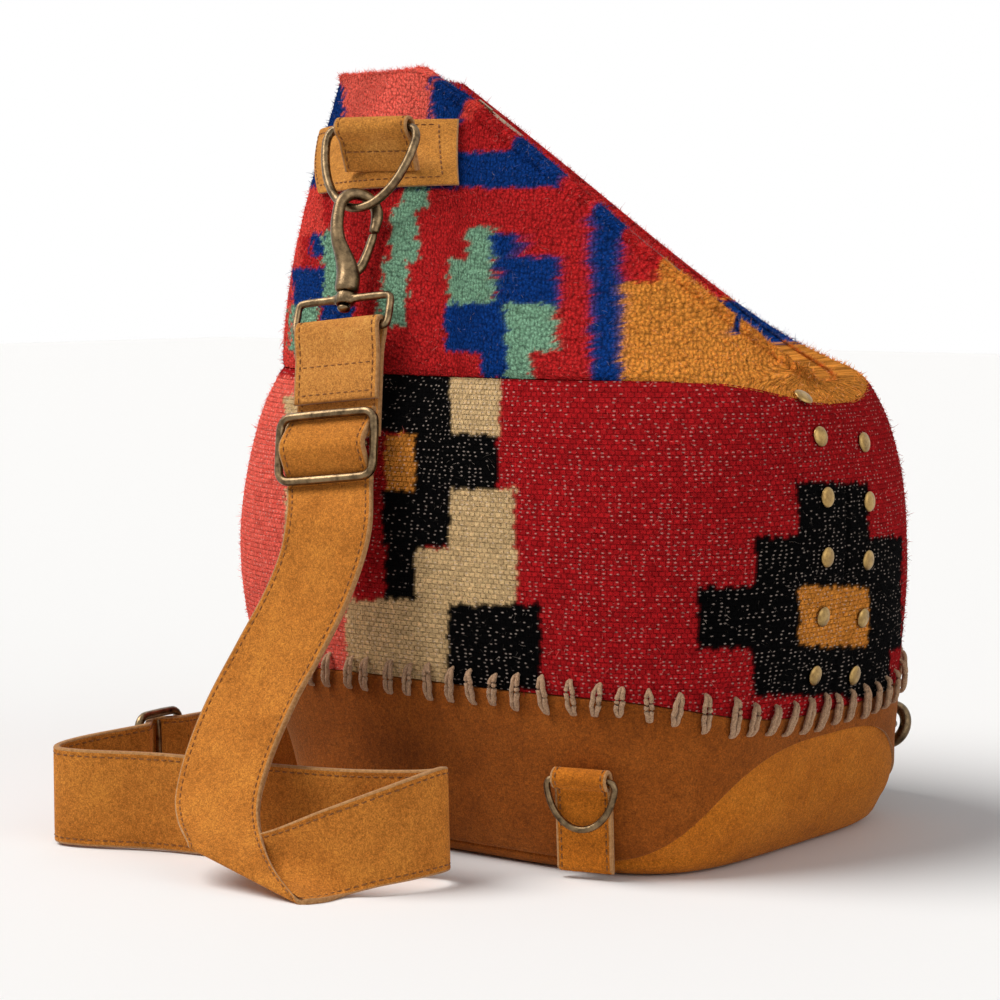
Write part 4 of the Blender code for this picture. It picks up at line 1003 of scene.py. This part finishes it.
def foot():
    """The bottom panel: a flat foot with a rounded edge, turned up into an arch at each end. Its low lip
    along the front and back has the skirt's darker suede, which is painted shade there."""
    top = arch_height(ROUND_ANGLES) + 0.003
    flat = [(share, 0.0) for share in (0.02, 0.35, 0.7, 0.92)]
    rows = []
    for share, height in (*flat, (0.965, 0.0004), (0.985, 0.0014), (0.996, 0.0030)):
        ring = lower_surface(ROUND_ANGLES, height)
        rows.append(ring * [share, share, 1.0])
    for share in np.linspace(0.0, 1.0, 16):
        height = 0.0048 + (np.maximum(top, 0.008) - 0.0048) * share
        out = normals_of(lower_surface, ROUND_ANGLES, height)
        dent = 0.0010 + 0.0008 * (0.5 + 0.5 * waves(ROUND_ANGLES, height, 33))
        rows.append(lower_surface(ROUND_ANGLES, height) - out * dent[:, None] * min(1, share * 4 + 0.2))
    quads = grid_quads(len(rows), ROUND, around=True)
    low = np.tile(top < 0.010, len(rows) - 1)
    # The low lip along the front and back takes the skirt's suede: painted shade along the front and back.
    lip = (low & (np.arange(len(quads)) >= 4 * ROUND)).astype(int)
    finishes = [FOOT_SUEDE, SKIRT_SUEDE_PAINTED_SHADE]
    made = piece("suede_foot", np.vstack(rows), quads, finishes, indices=lip)
    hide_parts("suede_bottom")


def whip_stitches():
    """Jute whip stitches over the line where the wool meets the suede. Two strands lie side by side in
    each and spread in the middle."""
    fine = np.linspace(0, 2 * math.pi, 2001)
    run = arc_lengths(lower_surface(fine, skirt_top(fine)))
    count = round(run[-1] / WHIP_PITCH)
    spots = (np.arange(count) + RNG.uniform(-0.12, 0.12, count)) * run[-1] / count
    angle = np.interp(spots, run, fine)
    share = np.linspace(-1, 1, 15)
    tall = WHIP_HALF * RNG.uniform(0.80, 1.10, count)
    tilt = RNG.uniform(-0.16, 0.10, count) + 0.10
    height = skirt_top(angle)[:, None] + tall[:, None] * share
    flat = angle[:, None] + 0 * height
    level = skirt_top(angle)
    around = unit(lower_surface(angle + 0.01, level) - lower_surface(angle - 0.01, level))
    out = normals_of(lower_surface, flat, height)
    base = lower_surface(flat, height) + around[:, None] * (tilt[:, None] * tall[:, None] * share)[..., None]
    arch = np.sqrt(np.clip(1 - share**4, 0, 1))
    lens = np.sqrt(np.clip(1 - share**2, 0, 1))
    lines, radii = [], []
    for strand in (-1.0, 1.0):
        bow = strand * WHIP_PLY * RNG.uniform(0.95, 1.30, count)[:, None]
        swing = bow * lens + 0.00020 * np.sin(share * 9 + RNG.uniform(0, 6, count)[:, None])
        rise = -0.0012 + 0.0033 * arch + RNG.uniform(-0.0002, 0.0003, count)[:, None]
        lines.append(base + around[:, None] * swing[..., None] + out * rise[..., None])
        radii.append(WHIP_PLY * RNG.uniform(0.98, 1.18, count)[:, None] * (0.55 + 0.45 * lens))
    points, quads = tubes(np.vstack(lines), np.vstack(radii), 8)
    piece("whip_stitches", points, quads, [JUTE])


skirt()
foot()
whip_stitches()


# Straps, tabs and loops


def hung_frame(place, down, across):
    """A frame at a place. -Z points down the piece, X runs across it and -Y faces out."""
    z = -Vector(down).normalized()
    x = (Vector(across) - z * Vector(across).dot(z)).normalized()
    made = Matrix((x, z.cross(x), z)).transposed().to_4x4()
    made.translation = Vector(place)
    return made


def leaning(place, heading, lean, roll=0.0):
    """A frame for a hanging piece: X turned by the heading, -Z leaning out and sideways by the roll."""
    made = Matrix.Rotation(heading, 4, "Z") @ Matrix.Rotation(-roll, 4, "Y") @ Matrix.Rotation(-lean, 4, "X")
    made.translation = Vector(place)
    return made


def placed(carrier, points):
    return np.array([carrier @ Vector(p) for p in points])


def curve_through(points, per_span=4):
    """A smooth curve through the points (Catmull-Rom), with its ends kept."""
    points = np.asarray(points, float)
    padded = np.vstack([2 * points[0] - points[1], points, 2 * points[-1] - points[-2]])
    t = (np.arange(per_span) / per_span)[:, None]
    out = []
    for k in range(1, len(padded) - 2):
        a, b, c, d = padded[k - 1 : k + 3]
        bend, twist = 2 * a - 5 * b + 4 * c - d, 3 * b - a - 3 * c + d
        out.append(0.5 * (2 * b + (c - a) * t + bend * t**2 + twist * t**3))
    return np.vstack([*out, points[-1:]])


def ribbon(node, middle, half, thick, finish, inset=SEAM_INSET):
    """A suede strip along a middle line, its half vectors running to one edge: rounded cut edges,
    a fine groove along each seam, and the stitches in the groove, on both faces."""
    tangent = np.gradient(middle, axis=0)
    wide = np.linalg.norm(half, axis=1)
    face = unit(np.cross(tangent, half))
    width = 2 * wide.mean()
    near = np.array([0.0, 0.0003, 0.0010, inset - 0.0009, inset, inset + 0.0009, inset + 0.004, width * 0.32])
    level = np.array([0.50, 0.86, 1.0, 0.98, 0.80, 0.98, 1.0, 1.0])
    across = np.concatenate([near, [width / 2], width - near[::-1]]) / (width / 2) - 1
    level = np.concatenate([level, [1.0], level[::-1]])
    skin = middle[:, None] + half[:, None] * across[:, None]
    lift = face[:, None] * (level * thick / 2)[:, None]
    name = node + "_skin"
    made = slab_piece(name, skin + lift, skin - lift, [finish, CUT_EDGE], edge_columns=2)
    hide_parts(node)
    share = 1 - inset / wide
    for side in (-1, 1):
        for layer, sign in (("out", 1), ("in", -1)):
            line = middle + half * (share * side)[:, None] + face * (sign * thick * 0.40)
            tag = "left" if side < 0 else "right"
            sew(f"{name}_thread_{tag}_{layer}", line, face * sign)


def folded(node, carrier, profile, width, thick, finish, inset=SEAM_INSET):
    """A strip whose side view is a smooth line through the profile's (y, z) points."""
    middle = placed(carrier, curve_through([(0.0, y, z) for y, z in profile], 10))
    half = np.tile(np.array(carrier.col[0][:3]) * width / 2, (len(middle), 1))
    ribbon(node, middle, half, thick, finish, inset)


def loop_profile(wire, thick, tongue, reach):
    """Side view of a strip folded round a bar, with both its layers running down behind the ring."""
    fold = wire + LOOP_CLEAR + thick / 2
    back = fold + thick + SEAT
    return [
        (back + reach, -tongue),
        (back + reach / 2, -tongue * 0.5),
        (back, -fold * 1.6),
        (back * 0.86, fold * 0.4),
        (fold * 0.35, fold * 1.18),
        (-fold * 0.85, fold * 0.75),
        (-fold * 1.12, -fold * 0.25),
        (-fold * 0.35, -fold * 1.25),
        (fold * 0.9, -fold * 2.1),
        (fold + reach / 2, -tongue * 0.55),
        (fold + reach, -tongue * 0.97),
    ]


def tab_line(front, back, near):
    """Side view of a short tab: its back layer up to the ring's bar, round it, and down the front."""
    fold = FRAME_WIRE + LOOP_CLEAR + TAB_THICK / 2
    return [
        (near, -back),
        (near, -back * 0.55),
        (near * 1.1, -0.0110),
        (fold, -0.0010),
        (fold * 0.6, fold * 0.95),
        (-fold * 0.6, fold * 0.95),
        (-fold, -0.0010),
        (-near * 1.1, -0.0110),
        (-near, -front * 0.6),
        (-near, -front),
    ]


def cross_seam(name, carrier, near, drop):
    """A row of stitches across the front of a tab, this far below its bar."""
    reach = STRAP_WIDTH / 2 - SEAM_INSET
    y = -near - TAB_THICK * 0.40
    line = placed(carrier, [(x, y, -drop) for x in np.linspace(-reach, reach, 24)])
    out = np.tile(-np.array(carrier.col[1][:3]), (len(line), 1))
    sew(name, line, out)


def weave(slider):
    """The strap's places and width directions through a slider."""
    over = GLIDE_BAR + GLIDE_SLACK + STRAP_THICK / 2
    under = GLIDE_WIRE + GLIDE_SLACK + STRAP_THICK / 2
    half = GLIDE_DROP / 2
    down = [(under, half + 0.0025), (under, half + 0.0005), (under * 0.72, half - 0.0028)]
    down.append((-over * 0.72, 0.0032))
    side = [*down, (-over, 0.0), *[(y, -z) for y, z in reversed(down)]]
    width = tuple(slider.col[0][:3])
    return [(tuple(slider @ Vector((0, y, z))), width) for y, z in side]


# Side view of the roll round the large ring's bar. Both its layers run back to the patch.
ROLL_PROFILE = (
    (0.0140, -0.0150),
    (0.0070, -0.0085),
    (0.0036, -0.0052),
    (0.0004, -0.0040),
    (-0.0024, -0.0027),
    (-0.0036, 0.0),
    (-0.0026, 0.0025),
    (0.0, 0.0037),
    (0.0030, 0.0026),
    (0.0045, -0.0005),
    (0.0075, -0.0058),
    (0.0155, -0.0140),
)


def top_gear():
    """The large ring's loop and the tab of the swivel ring. Returns the strap's places in the slider."""
    ring = leaning(RING_PLACE, HEADING, RING_LEAN)
    folded("loop_top", ring, ROLL_PROFILE, LOOP_LENGTH, LOOP_THICK, PATCH_SUEDE, 0.0024)
    line = placed(ring, [(x, 0.0062, -0.0093) for x in np.linspace(-0.0165, 0.0165, 24)])
    out = np.tile(unit(-np.array(ring.col[1][:3]) - np.array(ring.col[2][:3])), (len(line), 1))
    sew("loop_top_seam", line, out)
    drop = D_DROP * math.sqrt(1 - (2 * HANG_OFF / D_WIDTH) ** 2)
    hung = leaning(ring @ Vector((HANG_OFF, 0, -drop)), HEADING, HOOK_LEAN, ROLL)
    snap_hook("top", hung @ Matrix.Rotation(HOOK_TURN, 4, "Z"))
    bar = leaning(hung @ Vector((0, 0, -HOOK_REACH - FRAME_DROP)), HEADING, TAB_LEAN, ROLL)
    near = TAB_THICK / 2 + SEAT
    side_view = tab_line(TAB_FRONT, TAB_BACK, near)
    # The top tab's suede carries painted light in its colour.
    folded("tab_top", bar, side_view, STRAP_WIDTH, TAB_THICK, TAB_SUEDE_PAINTED_LIGHT)
    cross_seam("tab_top_seam_upper", bar, near, 0.0160)
    cross_seam("tab_top_seam_lower", bar, near, 0.0285)
    return weave(bar @ Matrix.Translation((0, GLIDE_OUT, GLIDE_AT)))


def small_loop(end):
    """The tab of a small ring on the front of the skirt or behind it. Returns the ring's frame."""
    front = leaning(SMALL_PLACE, SMALL_HEADING, 0.0)
    profile = loop_profile(SMALL_WIRE, LOOP_THICK, SMALL_TONGUE, SMALL_TONGUE_BACK)
    line = placed(front, curve_through([(0.0, y, z) for y, z in profile], 10))
    width = np.array(front.col[0][:3])
    ring = front
    if end == "back":
        line = line * (1, -1, 1)
        width = width * (1, -1, 1)
        out = Matrix.Rotation(SMALL_HEADING, 3, "Z") @ Vector((0, -1, 0))
        out.y = -out.y
        place = Vector((SMALL_PLACE.x, -SMALL_PLACE.y, SMALL_PLACE.z))
        ring = hung_frame(place, out * math.sin(BACK_SWING) + UPRIGHT * math.cos(BACK_SWING), -Vector(width))
    half = np.tile(width * SMALL_LOOP_LENGTH / 2, (len(line), 1))
    ribbon("loop_" + end, line, half, LOOP_THICK, FOOT_SUEDE, inset=0.0022)
    return ring


def rod(node, carrier, path):
    """A metal rod along a path of (across, down, radius) in the plane of a frame."""
    path = curve_through(path, 5)
    line = placed(carrier, [(s, 0, z) for s, z, _ in path])
    guide = np.array(carrier.col[1][:3])[None, None]
    points, quads = tubes(line[None], np.maximum(path[None, :, 2], 0.0001), 18, guide)
    made = piece(node + "_metal", points, quads, [BRASS], body=node)
    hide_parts(node)


def snap_hook(end, carrier):
    """A snap hook with a full barrel and a thick bow down to its nose, and the lever that closes it."""
    reach, half, boss = HOOK_REACH, HOOK_HALF, BOSS_HEIGHT / 2
    base = boss - reach
    turns = np.linspace(0, math.pi, 9)
    end_cap = ((-0.0034, 0.0001), (-0.0031, 0.0018), (-0.0018, 0.0029), (-0.0003, 0.0020))
    barrel = ((-0.0004, POST_RADIUS), (0.0004, 0.0040), (0.0014, 0.0050), (0.0030, 0.0053))
    path = [
        *[(0, -reach - boss + up, radius) for up, radius in (*end_cap, (0.0006, POST_RADIUS))],
        *[(0, base + up, radius) for up, radius in barrel],
        (-0.0002, base + 0.0080, 0.0052),
        (-0.0016, base + 0.0130, 0.0046),
        (-0.0042, base + 0.0185, 0.0038),
        (-0.0070, base + 0.0240, 0.0032),
        (-half * 0.98, base + 0.0310, 0.0029),
        *[(-half * math.cos(t), HOOK_RISE + half * math.sin(t), 0.0027) for t in turns],
        (half * 0.99, -0.0062, 0.0024),
        (half * 0.95, -NOSE_DROP + 0.0008, 0.0021),
        (half * 0.94, -NOSE_DROP + 0.0001, 0.0013),
        (half * 0.94, -NOSE_DROP, 0.0001),
    ]
    rod("hook_" + end, carrier, path)
    lever = [
        (0.0022, base + 0.0090, 0.0001),
        (0.0025, base + 0.0095, 0.0012),
        (0.0036, base + 0.0118, 0.0021),
        (0.0052, base + 0.0150, 0.0022),
        (0.0068, base + 0.0215, 0.0020),
        (half * 0.93, -NOSE_DROP - 0.0022, 0.0019),
        (half * 0.93, -NOSE_DROP - 0.0009, 0.0013),
        (half * 0.93, -NOSE_DROP - 0.0008, 0.0001),
    ]
    rod("gate_" + end, carrier, lever)


def back_gear():
    """The tab of the swivel ring behind the bag. Returns the strap's places between its layers."""
    ring = small_loop("back")
    half, drop = SMALL_WIDTH / 2, SMALL_DROP
    place = ring @ Vector((half * math.cos(BACK_HOOK_AT), 0, -drop * math.sin(BACK_HOOK_AT)))
    wire = ring.to_3x3() @ Vector((-half * math.sin(BACK_HOOK_AT), 0, -drop * math.cos(BACK_HOOK_AT)))
    hung = hung_frame(place, BACK_HOOK_DOWN, wire.cross(BACK_HOOK_DOWN))
    snap_hook("back", hung)
    level = hung_frame(hung @ Vector((0, 0, -HOOK_REACH)), BACK_HOOK_DOWN, UPRIGHT)
    bar = level @ Matrix.Translation((0, 0, -FRAME_DROP))
    near = TAB_THICK / 2 + SEAT + STRAP_THICK / 2
    side_view = tab_line(TAB_FRONT, TAB_FRONT, near)
    folded("tab_back", bar, side_view, STRAP_WIDTH, TAB_THICK, STRAP_SUEDE)
    cross_seam("tab_back_seam", bar, near, 0.0260)
    width = tuple(bar.col[0][:3])
    return [(tuple(bar @ Vector((0, 0, z))), width) for z in (-0.060, -0.036, -0.012)]


def strap(head, low, tail):
    """The long strap, from the top slider down to the floor, round its loops and behind the bag."""
    half = STRAP_WIDTH / 2
    stations = [(place, unit(way) * half) for place, way in (*head, *STRAP_HANGING)]
    for left, right in np.array(STRAP_FOLD):
        stations.append(((left + right) / 2, (right - left) / 2))
    upright = np.array(UPRIGHT) * half
    stations += [(place, upright) for place in STRAP_FLOOR]
    stations += [(place, unit(way) * half) for place, way in low]
    stations += [(place, upright) for place in STRAP_BEHIND]
    stations += [(place, unit(way) * half) for place, way in tail]
    middle = curve_through([place for place, _ in stations], 12)
    width = curve_through([way for _, way in stations], 12)
    ribbon("strap", middle, width, STRAP_THICK, STRAP_SUEDE)


def patch():
    """The suede patch under the large ring, sewn down all round."""
    low_left, low_right, top_left, top_right = np.array(PATCH_CORNERS)
    inset = np.array([0.0, 0.004, 0.012])
    along = np.concatenate([inset, np.linspace(0.04, 0.96, 30), 1 - inset[::-1]])
    up = np.concatenate([inset * 2, np.linspace(0.06, 0.94, 14), 1 - inset[::-1] * 2])

    def skin(along, up, lift):
        corner = low_left + (low_right - low_left) * along[..., None]
        high = top_left + (top_right - top_left) * along[..., None]
        corner = corner + (high - corner) * up[..., None]
        angle, height = np.radians(corner[..., 0]), corner[..., 1]
        out = normals_of(upper_surface, angle, height)
        return upper_surface(angle, height) + out * np.asarray(lift)[..., None], out

    across, rise = np.meshgrid(along, up)
    rim = np.minimum.reduce([across, 1 - across, rise * 0.5, (1 - rise) * 0.5])
    soft = PATCH_GAP + PATCH_THICK * np.clip(0.62 + rim * 60, 0, 1)
    outer, _ = skin(across, rise, soft)
    inner, _ = skin(across, rise, np.full(across.shape, PATCH_GAP))
    made = slab_piece("patch_skin", outer, inner, [PATCH_SUEDE, CUT_EDGE])
    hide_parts("patch")
    edge = np.linspace(0, 1, 40)
    for name, a, b in (
        ("low", 0.05 + 0.90 * edge, 0 * edge + 0.10),
        ("high", 0.05 + 0.90 * edge, 0 * edge + 0.90),
        ("left", 0 * edge + 0.05, 0.10 + 0.80 * edge),
        ("right", 0 * edge + 0.95, 0.10 + 0.80 * edge),
    ):
        line, out = skin(a, b, np.full(len(edge), PATCH_GAP + PATCH_THICK))
        sew(f"patch_thread_{name}", line, out)


patch()
small_loop("front")
head = top_gear()
tail = back_gear()
strap(head, weave(hung_frame(LOW_GLIDE, LOW_GLIDE_WAY, UPRIGHT)), tail)


# Metal fittings


def smooth_metal(node, finish):
    """A rounder stand-in for a fitting: its own mesh, welded and subdivided."""
    source = NODES[node]
    mesh = source.data.copy()
    obj = add_object(node + "_metal", mesh)
    weld = obj.modifiers.new("weld", "WELD")
    weld.merge_threshold = 0.00002
    if not node.startswith("rivet"):
        fuller = obj.modifiers.new("fuller", "DISPLACE")
        fuller.strength = 0.00017
        fuller.mid_level = 0.0
    rounder = obj.modifiers.new("round", "SUBSURF")
    rounder.levels = rounder.render_levels = 2
    graph = bpy.context.evaluated_depsgraph_get()
    made = bpy.data.meshes.new_from_object(obj.evaluated_get(graph))
    obj.modifiers.clear()
    obj.data = made
    made.name = node + "_metal"
    made.shade_smooth()
    made.materials.clear()
    made.materials.append(finish)
    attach(obj, source["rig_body"])
    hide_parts(node)


for name in NODES:
    if name.startswith("rivet"):
        smooth_metal(name, CAP_BRASS)
    elif name.startswith(("d_ring", "swivel", "glide")):
        smooth_metal(name, BRASS)
for name in ("zip_slider", "zip_pull", "zip_half_front", "zip_half_back"):
    obj = NODES[name]
    obj.data.materials.clear()
    obj.data.materials.append(ZIP if "half" in name else ZIP_METAL)
    bevel = obj.modifiers.new("edges", "BEVEL")
    bevel.width = 0.00022
    bevel.segments = 2


# Floor, light and camera


def plain(name, colour, roughness):
    made, _, shader = fresh(name, Roughness=roughness)
    shader.inputs["Base Color"].default_value = (*colour, 1)
    return made


def stage():
    ground = bpy.data.meshes.new("ground")
    corners = [(-1, -1), (1, -1), (1, 1), (-1, 1)]
    ground.from_pydata([(x * FLOOR_HALF, y * FLOOR_HALF, 0) for x, y in corners], [], [(0, 1, 2, 3)])
    ground.materials.append(plain("ground", (0.88, 0.88, 0.88), 0.8))
    add_object("ground", ground)


def sun(name, towards, strength, spread, colour):
    """A broad far light that comes from this way."""
    data = bpy.data.lights.new(name, "SUN")
    data.energy = strength
    data.angle = math.radians(spread)
    data.color = colour
    made = add_object(name, data)
    made.rotation_euler = (-Vector(towards)).to_track_quat("-Z", "Y").to_euler()


def sky():
    """Soft light from all round, plain white to the camera."""
    world = bpy.data.worlds.new("studio")
    bpy.context.scene.world = world
    world.use_nodes = True
    tree = world.node_tree
    light = tree.nodes["Background"]
    light.inputs["Color"].default_value = (0.97, 0.98, 1.0, 1)
    light.inputs["Strength"].default_value = 0.25
    white = tree.nodes.new("ShaderNodeBackground")
    white.inputs["Color"].default_value = (1, 1, 1, 1)
    white.inputs["Strength"].default_value = 1.0
    path = tree.nodes.new("ShaderNodeLightPath")
    seen = worked_out(tree, "MAXIMUM", path.outputs["Is Camera Ray"], path.outputs["Is Glossy Ray"])
    seen = worked_out(tree, "MAXIMUM", seen, path.outputs["Is Transmission Ray"])
    mix = tree.nodes.new("ShaderNodeMixShader")
    tree.links.new(seen, mix.inputs[0])
    tree.links.new(light.outputs[0], mix.inputs[1])
    tree.links.new(white.outputs[0], mix.inputs[2])
    tree.links.new(mix.outputs[0], tree.nodes["World Output"].inputs["Surface"])


def camera():
    data = bpy.data.cameras.new("camera")
    data.lens = LENS
    data.sensor_width = SENSOR
    made = add_object("camera", data)
    made.location = EYE
    made.rotation_euler = Vector(AIM - EYE).to_track_quat("-Z", "Y").to_euler()
    bpy.context.scene.camera = made


stage()
sky()
camera()
sun("key", tuple(-RIGHT * 0.75 + TOWARDS * 0.05 + np.array([0, 0, 1.00])), 2.9, 40.0, (1.0, 0.98, 0.95))
sun("fill", tuple(RIGHT * 0.9 + TOWARDS * 0.8 + np.array([0, 0, 0.45])), 0.8, 60.0, (1.0, 0.99, 0.97))
bpy.context.scene.view_settings.view_transform = "Standard"
